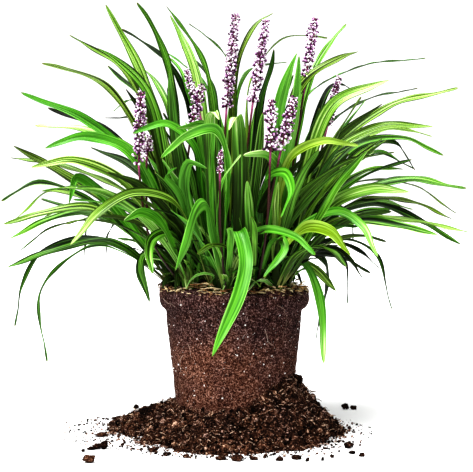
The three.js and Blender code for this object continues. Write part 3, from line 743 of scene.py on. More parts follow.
# Leaves whose green is worth noting, by where the tip stands in a front view: x and z in
# millimetres on the plane through the ball's axis, and how much paler the tip is.
NOTED_LEAVES: dict[LeafTone, tuple[tuple[float, float, float], ...]] = {
    LeafTone.DEEP: (
        (-246, 246, 0.0), (195, 369, 0.0), (194, 284, 0.0), (244, 203, 0.1), (169, 133, 0.0),
        (78, 101, 0.0), (124, 150, 0.0), (-207, 250, 0.1), (-243, 115, 0.0), (-214, 111, 0.0),
    ),
    LeafTone.OLIVE: (
        (-205, 396, 0.05), (-235, 308, 0.0), (42, 449, 0.1), (133, 409, 0.1), (241, 228, 0.1),
    ),
    LeafTone.MIDDLE: (
        (143, 303, 0.1), (218, 212, 0.1), (31, 343, 0.1), (-5, 323, 0.55), (-16, 335, 0.5),
        (-87, 171, 0.15), (-90, 141, 0.0), (-103, 460, -0.05), (-72, 459, 0.0), (-246, 209, 0.1),
        (-243, 178, 0.0), (55, 398, 0.0), (119, 437, 0.08), (223, 298, 0.1), (246, 263, 0.15),
    ),
    LeafTone.VIVID: (
        (95, 75, 0.2), (49, 230, 0.05), (-23, 84, 0.08), (69, 404, 0.0), (154, 190, 0.15),
        (-63, 174, 0.0), (9, 299, 0.25), (-108, 320, 0.0), (-62, 325, 0.18), (-78, 294, 0.12),
        (-28, 283, 0.0), (-21, 340, 0.1), (3, 236, 0.2), (-61, 284, 0.0), (84, 191, 0.05),
        (30, 161, 0.0), (-118, 228, 0.0), (-227, 363, 0.0), (-202, 305, -0.05), (-177, 247, 0.0),
    ),
    LeafTone.LIME: (
        (-174, 203, 0.18), (-216, 285, 0.1), (-175, 426, -0.05), (-244, 296, 0.0), (-239, 230, 0.08),
        (238, 371, 0.08), (209, 328, 0.0), (250, 216, 0.1), (104, 150, 0.0),
    ),
    LeafTone.PALE: (
        (-137, 458, 0.0), (-68, 450, 0.0), (165, 378, 0.05), (187, 258, 0.05), (-212, 329, 0.1),
    ),
    LeafTone.YELLOW: ((126, 191, 0.0), (131, 309, 0.05)),
}


def nearest_note(x: float, z: float) -> tuple[float, tuple[float, float], float]:
    """Finds the noted leaf whose tip is seen nearest to a place.

    Args:
        x: the place across the front view.
        z: its height.

    Returns:
        How far off that leaf's tip is, its lightness and olive share, and how much paler it ends.
    """
    return min(
        (math.hypot(x - tip_x, z - tip_z), tone.value, paler)
        for tone, tips in NOTED_LEAVES.items()
        for tip_x, tip_z, paler in tips
    )


@dataclass
class Blade:
    """One leaf, as sections from its foot to its tip.

    A leaf that isn't fine gets fewer and plainer sections, and lift makes its green lighter.
    """

    left: np.ndarray
    right: np.ndarray
    tip: np.ndarray
    fine: bool = True
    lift: float = 0.0

    @classmethod
    def thin(cls, spine: np.ndarray, half: np.ndarray, lift: float = 0.0) -> "Blade":
        """Makes a plain leaf of even width along a spine that ends in its tip."""
        return cls(spine[:-1] - half, spine[:-1] + half, spine[-1], False, lift)

    @property
    def spine(self) -> np.ndarray:
        """The middles of the sections."""
        return (self.left + self.right) / 2

    @property
    def widths(self) -> np.ndarray:
        """The widths of the sections."""
        return np.linalg.norm(self.left - self.right, axis=1)


def edges_of(rings: list[np.ndarray]) -> tuple[np.ndarray, np.ndarray]:
    """Sorts each section's three vertices into its two edges and its keel.

    Args:
        rings: the sections, each of three vertices in any order.

    Returns:
        The left and the right edge, seen with the keel below and the tip ahead.
    """
    middles = np.array([ring.mean(axis=0) for ring in rings])
    forward = unit(np.gradient(middles, axis=0))
    pairs = []
    for ring, ahead in zip(rings, forward):
        keel = min(range(3), key=lambda i: np.linalg.norm(ring[i] - (ring.sum(axis=0) - ring[i]) / 2))
        one, other = (ring[i] for i in range(3) if i != keel)
        upward = (one + other) / 2 - ring[keel]
        if np.cross(upward, ahead).dot(one - other) > 0:
            one, other = other, one
        pairs.append((one, other))
    left, right = zip(*pairs)
    return np.array(left), np.array(right)


def read_blades(node: str) -> list[Blade]:
    """Finds the leaves in a packed tuft.

    Each leaf ends in a vertex that joins three others. From there its sections follow, three
    vertices in each, down to the crown.

    Args:
        node: the tuft's name.

    Returns:
        Its leaves.
    """
    points, neighbours = packed_shape(node)
    blades = []
    for tip in (i for i, near in enumerate(neighbours) if len(near) == 3):
        seen, layer, rings = {tip}, {tip}, []
        while True:
            layer = set().union(*(neighbours[i] for i in layer)) - seen
            if len(layer) != 3:
                break
            seen |= layer
            rings.append(points[sorted(layer)])
        if len(rings) >= 3:
            blades.append(Blade(*edges_of(rings[::-1]), points[tip]))
    return blades


@dataclass
class LeafTuft:
    """A crown and the strap leaves that grow from it."""

    node: str
    centre: np.ndarray
    soil_top: float = 155.0
    crown_depth: float = 5.0
    # a leaf's middle line: its hidden foot, and how finely it is drawn
    sheath: float = 22.0
    sheath_bend: float = 1.6
    step: float = 5.5
    tip_rows: tuple[float, ...] = (0.45, 0.75, 0.93)
    # its width, as shares of the full width and of its length
    root_share: float = 0.38
    widening: Range = (0.04, 0.42)
    taper_start: float = 0.66
    taper_power: float = 2.3
    tip_share: float = 0.55
    tip_limits: Range = (0.08, 0.38)
    tip_narrowing: float = 0.035
    tip_round: float = 0.45
    # its section, and the half widths below which thickness, keel and wave fade
    keel_depth: float = 0.6
    keel_share: float = 0.26
    keel_round: float = 0.12
    keelless_half: float = 0.05
    thickness: float = 0.45
    hollow_share: float = 0.8
    rib_height: float = 0.1
    ribs_across: float = 4.1
    ribs_end: float = 0.9
    edge_wave: float = 0.8
    wave_lengths: Range = (38.0, 75.0)
    wave_start: Range = (0.1, 0.4)
    thin_half: float = 3.0
    flat_half: float = 1.2
    calm_half: float = 2.0
    # where the vertices of a section stand across the upper and the lower skin
    fine_skins: tuple[tuple[float, ...], ...] = (
        (-1, -0.74, -0.48, -0.23, 0, 0.23, 0.48, 0.74, 1),
        (1, 0.5, 0, -0.5, -1),
    )
    plain_skins: tuple[tuple[float, ...], ...] = ((-1, -0.45, 0, 0.45, 1), (1, 0, -1))
    # its green, by chance and by its place in the clump
    note_reach: float = 13.0
    noted_spread: float = 0.03
    middle_tone: float = 0.37
    forward_tone: float = 0.13
    clump_reach: float = 240.0
    height_tone: float = 0.08
    middle_height: float = 250.0
    height_span: float = 200.0
    tone_limits: Range = (0.06, 0.76)
    fine_spread: float = 0.28
    plain_spread: float = 0.46
    outer_olive: float = 0.25
    outer_reach: Range = (60.0, 200.0)
    # where it is darker or paler, by how much, and where that begins and ends: the darkening at the foot,
    # inside the clump and on the left side is painted shade
    foot_shade: float = 0.05
    foot_end: Range = (0.05, 0.45)
    inner_shade: float = 0.14
    inner_reach: Range = (60.0, 125.0)
    inner_height: Range = (250.0, 350.0)
    shade_centre: float = 30.0
    left_shade: float = 0.12
    left_reach: Range = (70.0, 150.0)
    pale_end: Range = (0.72, 0.92)
    # young inner leaves and sheaths, and old narrow leaves that curl over
    inner_leaves: int = 20
    inner_length: float = 115.0
    inner_start: float = 5.0
    inner_halves: Range = (1.4, 3.8)
    curled_leaves: int = 9
    curled_length: float = 80.0
    curled_start: float = 4.0
    curled_lowest: float = 2.5
    curled_halves: Range = (1.5, 3.4)
    curled_lift: float = 0.2
    rim_radius: float = 82.0

    def width_share(self, along: np.ndarray, length: float, full: float) -> np.ndarray:
        """The share of a leaf's full width at each share of its length.

        Args:
            along: the shares of its length.
            length: its length.
            full: its full width, which sets how far the blunt tip is rounded.

        Returns:
            The shares of its width.
        """
        widening = self.root_share + (1 - self.root_share) * smooth(along, *self.widening)
        late = np.clip((along - self.taper_start) / (1 - self.taper_start), 0, 1)
        end = np.clip(1 - (1 - along) * length / (self.tip_round * full), 0, 1)
        kept = np.clip(self.tip_share - self.tip_narrowing * full, *self.tip_limits)
        return widening * (1 - (1 - kept) * late**self.taper_power) * np.sqrt(1 - end * end)

    def tone_of(
        self, blade: Blade, line: np.ndarray, along: np.ndarray, draw: np.random.Generator
    ) -> tuple[np.ndarray, float]:
        """Picks the leaf's greens, as noted for its tip or else by its place and by chance, and
        darkens them with painted shade at its foot and inside the clump.

        Args:
            blade: the leaf.
            line: the middles of its fine sections.
            along: the shares of its length at those.
            draw: the tuft's random stream.

        Returns:
            The tone at each section, and how olive the leaf is.
        """
        chance = draw.uniform(-1, 1)
        x, z = Studio.seen_at(blade.tip)
        off, (tone, olive), paler = nearest_note(x, z)
        if blade.fine and off < self.note_reach:
            tone += self.noted_spread * chance
        else:
            paler = 0.0
            forward = np.clip(-blade.tip[1] / self.clump_reach, -1, 1)
            height = (blade.tip[2] - self.middle_height) / self.height_span
            spread = self.fine_spread if blade.fine else self.plain_spread
            tone = self.middle_tone + self.forward_tone * forward + self.height_tone * height
            tone = np.clip(tone + spread * chance, *self.tone_limits)
            # painted shade: leaves on the clump's left side are drawn darker
            tone += blade.lift - self.left_shade * smooth(-x, *self.left_reach)
            outer = smooth(math.hypot(x, height * self.height_span / 2), *self.outer_reach)
            olive = (1 - self.outer_olive) * draw.uniform() + self.outer_olive * outer
        # painted shade: darker at the leaf's foot and inside the clump, where the leaves shade each other
        depth = np.hypot(line[:, 0], line[:, 1] - self.shade_centre)
        inner = (1 - smooth(depth, *self.inner_reach)) * (1 - smooth(line[:, 2], *self.inner_height))
        foot = 1 - smooth(along, *self.foot_end)
        shade = np.maximum(self.foot_shade * foot, self.inner_shade * inner)
        return tone - shade + paler * smooth(along, *self.pale_end), olive

    def middle_line(self, blade: Blade) -> tuple[np.ndarray, np.ndarray, np.ndarray]:
        """Runs a fine line up a leaf from its sheath to its tip.

        Args:
            blade: the leaf.

        Returns:
            The line, the share of its length at each point, and the way across the leaf there.
        """
        spine = blade.spine
        inward = unit(spine[0] - np.append(self.centre, self.soil_top - self.crown_depth))
        leaving = unit(unit(spine[1] - spine[0]) + self.sheath_bend * inward)
        knots = np.vstack([spine[0] - leaving * self.sheath, spine, blade.tip])
        least, step = (3, self.step) if blade.fine else (1, 2 * self.step)
        gaps = np.linalg.norm(np.diff(knots, axis=0), axis=1)
        counts = [max(least, round(gap / step)) for gap in gaps]
        line = eased_curve(knots, counts)
        end = line[-2] + (line[-1] - line[-2]) * np.reshape(self.tip_rows, (-1, 1))
        line = np.vstack([line[:-1], end, line[-1:]])
        along = length_shares(line)
        stations = np.concatenate([[0], along[np.cumsum(counts)[:-1]], [1]])
        sides = unit(blade.left - blade.right)
        sides = np.vstack([sides[:1], sides, sides[-1:]])
        turned = np.stack([np.interp(along, stations, axis) for axis in sides.T], axis=1)
        tangent = unit(np.gradient(line, axis=0))
        return line, along, unit(turned - tangent * np.sum(turned * tangent, axis=1, keepdims=True))

    def add_leaf(self, draft: MeshDraft, blade: Blade, draw: np.random.Generator) -> None:
        """Lofts one leaf finely through its sections.

        Args:
            draft: the tuft's mesh.
            blade: the leaf's sections.
            draw: the tuft's random stream.
        """
        line, along, side = self.middle_line(blade)
        face = np.cross(side, unit(np.gradient(line, axis=0)))
        full, length = blade.widths.max(), np.sum(np.linalg.norm(np.diff(line, axis=0), axis=1))
        half = 0.5 * full * self.width_share(along, length, full)
        phase, beat = any_angle(draw), draw.uniform(*self.wave_lengths)
        swing = np.sin(along * length / beat * FULL_TURN + phase)
        wave = self.edge_wave * smooth(along, *self.wave_start) * swing
        depth = (self.keel_depth + self.keel_share * half) * (half > self.keelless_half)
        thick = self.thickness * min(1, half.max() / self.thin_half)
        upper, lower = self.fine_skins if blade.fine else self.plain_skins
        skins = [(across, 0.0) for across in upper] + [(across, 1.0) for across in lower]
        bend, rows = self.keel_round, []
        for across, skin in skins:
            drop = 1 - (math.hypot(across, bend) - bend) / (math.hypot(1, bend) - bend)
            raised = 1 if round(abs(across) * self.ribs_across) % 2 else -1
            rib = 0.0 if skin or abs(across) >= self.ribs_end else self.rib_height * raised
            sink = drop * (depth - self.thickness * self.hollow_share) + skin * thick
            sink = np.minimum(sink, depth) * np.minimum(1, half / self.flat_half)
            lift = (rib + wave * across * abs(across)) * np.minimum(1, half / self.calm_half)
            rows.append(line + side * (across * half)[:, None] + face * (lift - sink)[:, None])
        rings = np.stack(rows, axis=1)[:-1]
        count, columns = rings.shape[:2]
        tone, olive = self.tone_of(blade, line, along, draw)
        across, under, margin = (
            np.append(np.tile(values, count), [0, 0])
            for values in (upper + lower, [skin for _, skin in skins], self.margins(upper, lower))
        )
        draft.add(
            np.vstack([rings.reshape(-1, 3), line[0], line[-1]]),
            [grid_quads(count, columns), *end_fans(count, columns)],
            across=across,
            along=np.append(np.repeat(along[:-1], columns), [0, 1]),
            under=under,
            margin=margin,
            tone=np.append(np.repeat(tone[:-1], columns), tone[[0, -1]]),
            salt=draw.uniform(),
            olive=olive,
        )

    @staticmethod
    def margins(upper: tuple[float, ...], lower: tuple[float, ...]) -> list[float]:
        """Numbers the four lines where an upper or lower skin ends, and gives 0 to the rest."""
        ends = [1.0] + [0.0] * (len(upper) - 2) + [2.0]
        return ends + [3.0] + [0.0] * (len(lower) - 2) + [4.0]

    def inner_blades(self, draw: np.random.Generator) -> list[Blade]:
        """Makes the short young leaves and old sheaths that crowd round the crown.

        Args:
            draw: the tuft's random stream.

        Returns:
            The leaves.
        """
        blades = []
        outward = self.centre / max(np.linalg.norm(self.centre), 8.0)
        share = np.linspace(0, 1, 6)[:, None]
        for number in range(self.inner_leaves):
            angle = number * GOLDEN_ANGLE + draw.uniform(-0.4, 0.4)
            away = facing(angle)
            length = self.inner_length * draw.uniform(0.3, 1.0)
            lean = (0.42 * away + 0.2 * outward) * draw.uniform(0.25, 1.3)
            flat = self.centre + self.inner_start * away + lean * length * (0.4 * share + 0.5 * share**2)
            droop = 0.2 + 0.45 * np.linalg.norm(lean)
            spine = np.hstack([flat, self.soil_top + length * share * (1 - droop * share)])
            side = facing(angle + math.pi / 2 + draw.uniform(-0.9, 0.9))
            blades.append(Blade.thin(spine, draw.uniform(*self.inner_halves) * np.append(side, 0.0)))
        return blades

    def curled_blades(self, draw: np.random.Generator) -> list[Blade]:
        """Makes the old narrow leaves that curl over beside the outer crowns, inside the rim.

        Args:
            draw: the tuft's random stream.

        Returns:
            The leaves.
        """
        blades = []
        if np.linalg.norm(self.centre) < 0.5 * self.rim_radius:
            return blades
        bearing = math.atan2(self.centre[1], self.centre[0])
        for _ in range(self.curled_leaves):
            away = facing(bearing + draw.choice((-1, 1)) * draw.uniform(0.7, 1.9))
            length = self.curled_length * draw.uniform(0.45, 1.0)
            lean = np.linspace(draw.uniform(0.1, 0.7), draw.uniform(1.9, 3.1), 7)
            steps = np.stack([np.sin(lean), np.cos(lean)], axis=1) * length / len(lean)
            reach, rise = np.vstack([[0, 0], np.cumsum(steps, axis=0)]).T
            flat = self.centre + away * (self.curled_start + reach)[:, None]
            if np.linalg.norm(flat, axis=1).max() >= self.rim_radius:
                continue
            spine = np.column_stack([flat, self.soil_top + np.maximum(rise, self.curled_lowest)])
            half = draw.uniform(*self.curled_halves)
            across = np.array([away[1], -away[0], draw.uniform(-0.5, 0.5)])
            blades.append(Blade.thin(spine, half * across, self.curled_lift))
        return blades

    def sharpen_margins(self, piece: bpy.types.Object) -> None:
        """Keeps each leaf's margin crisp, so that the two faces shade apart.

        Args:
            piece: the tuft, whose mark margin is used up.
        """
        mesh = piece.data
        margin = np.zeros(len(mesh.vertices), np.float32)
        mesh.attributes["margin"].data.foreach_get("value", margin)
        ends = np.zeros(len(mesh.edges) * 2, np.int32)
        mesh.edges.foreach_get("vertices", ends)
        first, second = margin[ends.reshape(-1, 2)].T
        layer = mesh.attributes.new("sharp_edge", "BOOLEAN", "EDGE")
        layer.data.foreach_set("value", (first == second) & (first > 0))
        mesh.attributes.remove(mesh.attributes["margin"])

    def build(self, finish: bpy.types.Material, seed: int) -> bpy.types.Object:
        """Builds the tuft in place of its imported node.

        Args:
            finish: the leaf's material.
            seed: the tuft's random seed.

        Returns:
            The piece.
        """
        draw = np.random.default_rng(seed)
        draft = MeshDraft(("across", "along", "under", "margin", "tone", "salt", "olive"))
        for blade in [*read_blades(self.node), *self.inner_blades(draw), *self.curled_blades(draw)]:
            self.add_leaf(draft, blade, draw)
        piece = draft.build("fine_" + self.node, [finish])
        self.sharpen_margins(piece)
        return dressed(piece, self.node)


# ------------------------------------------------------------------ flowers


@dataclass
class FlowerHead:
    """A dense spike of small buds in whorls round a thin axis."""

    node: str
    whorl_step: float = 2.5
    buds_in_whorl: int = 9
    bud_radius: float = 1.6
    bud_lobes: float = 0.1
    stalk_radius: float = 0.28
    axis_radius: float = 1.1
    axis_sunk: float = 1.5
    narrowing: float = 0.26
    bud_narrowing: float = 0.25
    full_radius: float = 6.0
    sparse_top: float = 0.85
    # the loose lower whorls of a long spike: how far up they reach, how far apart they are, and
    # the share of buds that they lack
    lax_length: float = 40.0
    lax_share: float = 0.22
    lax_step: float = 1.55
    lax_gaps: float = 0.28
    # how unlike each other whorls and buds are, and how far a bud strays from its place
    whorl_sizes: Range = (0.8, 1.16)
    bud_sizes: Range = (0.6, 1.2)
    bud_lengths: Range = (1.05, 1.35)
    bud_tones: Range = (-0.7, 0.62)
    bud_lifts: Range = (-0.2, 0.8)
    bud_depths: Range = (0.2, 1.9)
    turn_strays: Range = (-0.45, 0.45)
    rise_strays: Range = (-1.6, 1.6)
    stalk_drop: float = 0.9

    def axis(self) -> tuple[np.ndarray, np.ndarray, float]:
        """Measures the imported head.

        Returns:
            Its foot, its tip and its greatest radius.
        """
        points, _ = packed_shape(self.node)
        middle = points.mean(axis=0)
        _, _, directions = np.linalg.svd(points - middle)
        direction = directions[0] * np.sign(directions[0][2])
        reach = (points - middle) @ direction
        off = np.linalg.norm(points - middle - np.outer(reach, direction), axis=1)
        return middle + direction * reach.min(), middle + direction * reach.max(), off.max()

    def build(self, finishes: list[bpy.types.Material], seed: int) -> bpy.types.Object:
        """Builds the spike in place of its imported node.

        Args:
            finishes: the bud's and the axis's materials.
            seed: the spike's random seed.

        Returns:
            The piece.
        """
        draw = np.random.default_rng(seed)
        draft = MeshDraft(("petal", "rise"))
        foot, tip, radius = self.axis()
        length = np.linalg.norm(tip - foot)
        up = (tip - foot) / length
        side = unit(np.cross(up, [0.3, 1.0, 0.1]))
        other = np.cross(up, side)
        steps = np.linspace(0, 1, 8)[:, None]
        line = foot - up * self.axis_sunk + up * (length - 1.0) * steps
        draft.add(*tube(line, self.axis_radius * (1 - 0.5 * steps[:, 0]), 7), slot=1, rise=0.8)
        travelled, turn = 0.4 * self.whorl_step, 0.0
        while travelled < length - 0.6:
            share = travelled / length
            outline = radius * (1 - self.narrowing * smooth(share, 0.5, 1.0))
            outline *= draw.uniform(*self.whorl_sizes)
            size = self.bud_radius * (1 - self.bud_narrowing * share) * min(1, radius / self.full_radius)
            lax = share < self.lax_share and length > self.lax_length
            count = self.buds_in_whorl if share < self.sparse_top else self.buds_in_whorl - 2
            for i in range(count):
                if lax and draw.uniform() < self.lax_gaps:
                    continue
                angle = turn + FULL_TURN * (i + draw.uniform(*self.turn_strays)) / count
                out = side * math.cos(angle) + other * math.sin(angle)
                lean = unit(out + up * draw.uniform(*self.bud_lifts))
                reach = max(outline - size * draw.uniform(*self.bud_depths), 0.5)
                centre = foot + up * (travelled + draw.uniform(*self.rise_strays)) + out * reach
                self.add_bud(draft, centre, lean, size * draw.uniform(*self.bud_sizes), draw)
                stalk = np.stack([foot + up * (travelled - self.stalk_drop), centre])
                draft.add(*tube(stalk, np.full(2, self.stalk_radius), 3), slot=1, rise=1.0)
            travelled += self.whorl_step * (self.lax_step if lax else 1.0)
            turn += GOLDEN_ANGLE
        return dressed(draft.build("fine_" + self.node, finishes), self.node)

    def add_bud(
        self, draft: MeshDraft, centre: np.ndarray, lean: np.ndarray, size: float, draw: np.random.Generator
    ) -> None:
        """Sets one bud on the spike.

        Args:
            draft: the spike's mesh.
            centre: the bud's middle.
            lean: the way that it points.
            size: its radius.
            draw: the spike's random stream.
        """
        bud, faces = pebble(3, 6)
        side = unit(np.cross(lean, draw.normal(size=3)))
        turned = np.stack([side, np.cross(lean, side), lean])
        length = draw.uniform(*self.bud_lengths)
        lobes = 1 + self.bud_lobes * np.cos(3 * np.arctan2(bud[:, 1], bud[:, 0]))
        shaped = bud * np.stack([lobes, lobes, np.full(len(bud), length)], axis=1) * size
        # painted shade and highlight: the bud is dark at its foot, where the buds shade each other, and near
        # white at its tip
        foot_shade_tip_highlight = 0.12 + 0.88 * (bud[:, 2] * 0.5 + 0.5) ** 1.3
        petal = np.clip(foot_shade_tip_highlight + draw.uniform(*self.bud_tones), 0, 1)
        draft.add(shaped @ turned + centre, faces, petal=petal)


@dataclass
class FlowerStem:
    """A thin scape that carries a spike, ridged along its length."""

    node: str
    sides: int = 10
    packed_sides: int = 6
    span_steps: int = 5
    radius: float = 1.15
    foot_share: float = 1.08
    narrowing: float = 0.2
    ridge: float = 0.14

    def build(self, finish: bpy.types.Material) -> bpy.types.Object:
        """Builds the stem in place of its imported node.

        Args:
            finish: the stem's material.

        Returns:
            The piece.
        """
        points, _ = packed_shape(self.node)
        knots = points[np.argsort(points[:, 2])].reshape(-1, self.packed_sides, 3).mean(axis=1)
        line = eased_curve(knots, [self.span_steps] * (len(knots) - 1))
        along = length_shares(line)
        ridges = 1 + self.ridge * (np.arange(self.sides) % 2)
        radii = self.radius * (self.foot_share - self.narrowing * along)[:, None] * ridges
        draft = MeshDraft(("rise",))
        rise = np.repeat(0.1 + 0.4 * smooth(along, 0.1, 0.7) + 0.5 * smooth(along, 0.82, 1), self.sides)
        draft.add(*tube(line, radii, self.sides), rise=np.append(rise, [0, 1]))
        return dressed(draft.build("fine_" + self.node, [finish]), self.node)


# ------------------------------------------------------------------ root ball and soil


@dataclass
class RootBall:
    """The bare root ball, still in the shape of the pot that it came out of."""

    node: str = "soil_root_ball"
    height: float = 155.0
    foot_radius: float = 59.0
    shoulder_radius: float = 72.7
    shoulder_height: float = 132.0
    # the soft band that the pot's rim moulded, as (radius, height)
    rim: tuple[tuple[float, float], ...] = (
        (74.8, 134.5), (77.4, 137), (79.2, 140), (80, 144), (80, 152), (78, 154.5), (75, 155)
    )
    crust_height: float = 8.0
    crust_angle: float = math.radians(186)
    crust_width: Range = (0.12, 0.5)
    crust_waves: tuple[tuple[float, float, float], ...] = ((0.8, 11, 0), (0.5, 23, 1))
    # how finely it is drawn, more coarsely where the heap and the leaves hide it
    columns: int = 500
    pitch: float = 1.0
    top_pitch: float = 2.6
    hidden_heights: Range = (15.0, 30.0)
    # its crumbs, by spacing and pattern, and how deep they and the swells are
    coarse: tuple[float, int] = (3.3, 11)
    fine: tuple[float, int] = (1.8, 23)
    coarse_depth: float = 0.6
    fine_depth: float = 0.45
    top_depth: float = 1.5
    sunk: float = 1.0
    side_swells: tuple[Layer, ...] = ((0.7, 16, 31), (0.35, 6, 37))
    band_swell: Layer = (0.7, 9, 41)
    top_swell: Layer = (1.6, 14, 43)
    # where rim band, top, rim edge and bare side begin, by height, slope and radius
    band_start: Range = (134.0, 139.0)
    top_start: Range = (0.3, 0.9)
    edge_start: Range = (151.9, 154.0)
    edge_radii: Range = (66.0, 74.0)
    side_start: Range = (2.0, 6.0)
    # where it has dried
    dry_spot: tuple[float, float, float] = (-38, -60, 72)
    dry_reach: Range = (30.0, 105.0)
    dry_heights: Range = (70.0, 128.0)

    def profile(self) -> np.ndarray:
        """Draws the outline from the foot's edge, up the side and over the top.

        Returns:
            The radius and the height of each ring.
        """
        low = [(self.radius_at(z), z) for z in (0.0, *self.hidden_heights)]
        corners = [*low, (self.shoulder_radius, self.shoulder_height), *self.rim, (1.5, self.height)]
        rings = corners[:2]
        for (r0, z0), (r1, z1) in zip(corners[2:], corners[3:]):
            pitch = self.top_pitch if z0 == z1 else self.pitch
            steps = max(1, round(math.hypot(r1 - r0, z1 - z0) / pitch))
            rings += [(r0 + (r1 - r0) * s / steps, z0 + (z1 - z0) * s / steps) for s in range(steps)]
        return np.array(rings + [corners[-1]], float)

    def radius_at(self, z: float) -> float:
        """The side's radius at a height below the rim band."""
        return self.foot_radius + (self.shoulder_radius - self.foot_radius) * z / self.shoulder_height

    def crust(self, angle: np.ndarray) -> np.ndarray:
        """How far the thin crust and the ragged edge stand above the top."""
        near = 1 - smooth(turn_between(angle, self.crust_angle), *self.crust_width)
        return self.crust_height * near + waves(angle, self.crust_waves)

    def dryness(self, points: np.ndarray) -> np.ndarray:
        """How far the soil has dried: most low at the front left, least under the rim.

        Args:
            points: places on the ball.

        Returns:
            A share from 0 to 1 at each place.
        """
        low = 1 - smooth(points[:, 2], *self.dry_heights)
        warm = 1 - smooth(np.linalg.norm(points - self.dry_spot, axis=1), *self.dry_reach)
        return np.clip(0.1 + 0.5 * low + 0.4 * warm * low + 0.12 * drift(points, 30, 5), 0, 1)

    def build(self, finish: bpy.types.Material) -> bpy.types.Object:
        """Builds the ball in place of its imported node.

        Args:
            finish: the soil's material.

        Returns:
            The piece.
        """
        outline = self.profile()
        slope = unit(np.gradient(outline, axis=0))
        radius, height, up, out = np.repeat(np.hstack([outline, slope]), self.columns, axis=0).T
        up = -up
        angle = np.tile(full_turn(self.columns), len(outline))
        place = around(radius, angle, height)
        coarse, coarse_tone = granules(place, *self.coarse)
        fine, fine_tone = granules(place, *self.fine)
        relief = self.coarse_depth * coarse + self.fine_depth * fine - self.sunk
        relief += swells(place, *self.side_swells)
        relief += smooth(height, *self.band_start) * (swells(place, self.band_swell) - 0.2)
        relief += smooth(up, *self.top_start) * (self.top_depth * coarse + swells(place, self.top_swell))
        relief *= smooth(height, *self.side_start)
        on_rim = smooth(radius, *self.edge_radii) * smooth(height, *self.edge_start)
        points = around(radius + relief * out, angle, height + relief * up + on_rim * self.crust(angle))
        points = np.vstack([points, [0, 0, 0], [0, 0, self.height]])
        # painted shade: the soil is drawn darker in the gaps between fine crumbs and on the right side, and
        # darker towards the top
        crumb = 0.27 + 0.22 * coarse_tone + 0.35 * fine_tone * fine
        crumb -= 0.09 * smooth(place[:, 0], 0, 60) + 0.05 * smooth(place[:, 2], 90, 135)
        draft = MeshDraft(("crumb", "dryness"))
        draft.add(
            points,
            [grid_quads(len(outline), self.columns), *end_fans(len(outline), self.columns)],
            crumb=np.append(crumb, [0.3, 0.3]),
            dryness=self.dryness(points),
        )
        return dressed(draft.build("fine_" + self.node, [finish]), self.node)

    def on_side(self, angle: float, z: float, stand: float) -> np.ndarray:
        """A place on the side or the rim band, standing out by a little.

        Args:
            angle: the angle round the ball.
            z: the height.
            stand: how far the place stands out.

        Returns:
            The place.
        """
        corners = ((self.foot_radius, 0.0), (self.shoulder_radius, self.shoulder_height), *self.rim)
        radii, heights = zip(*corners)
        return around(np.interp(z, heights, radii) + stand, angle, z)


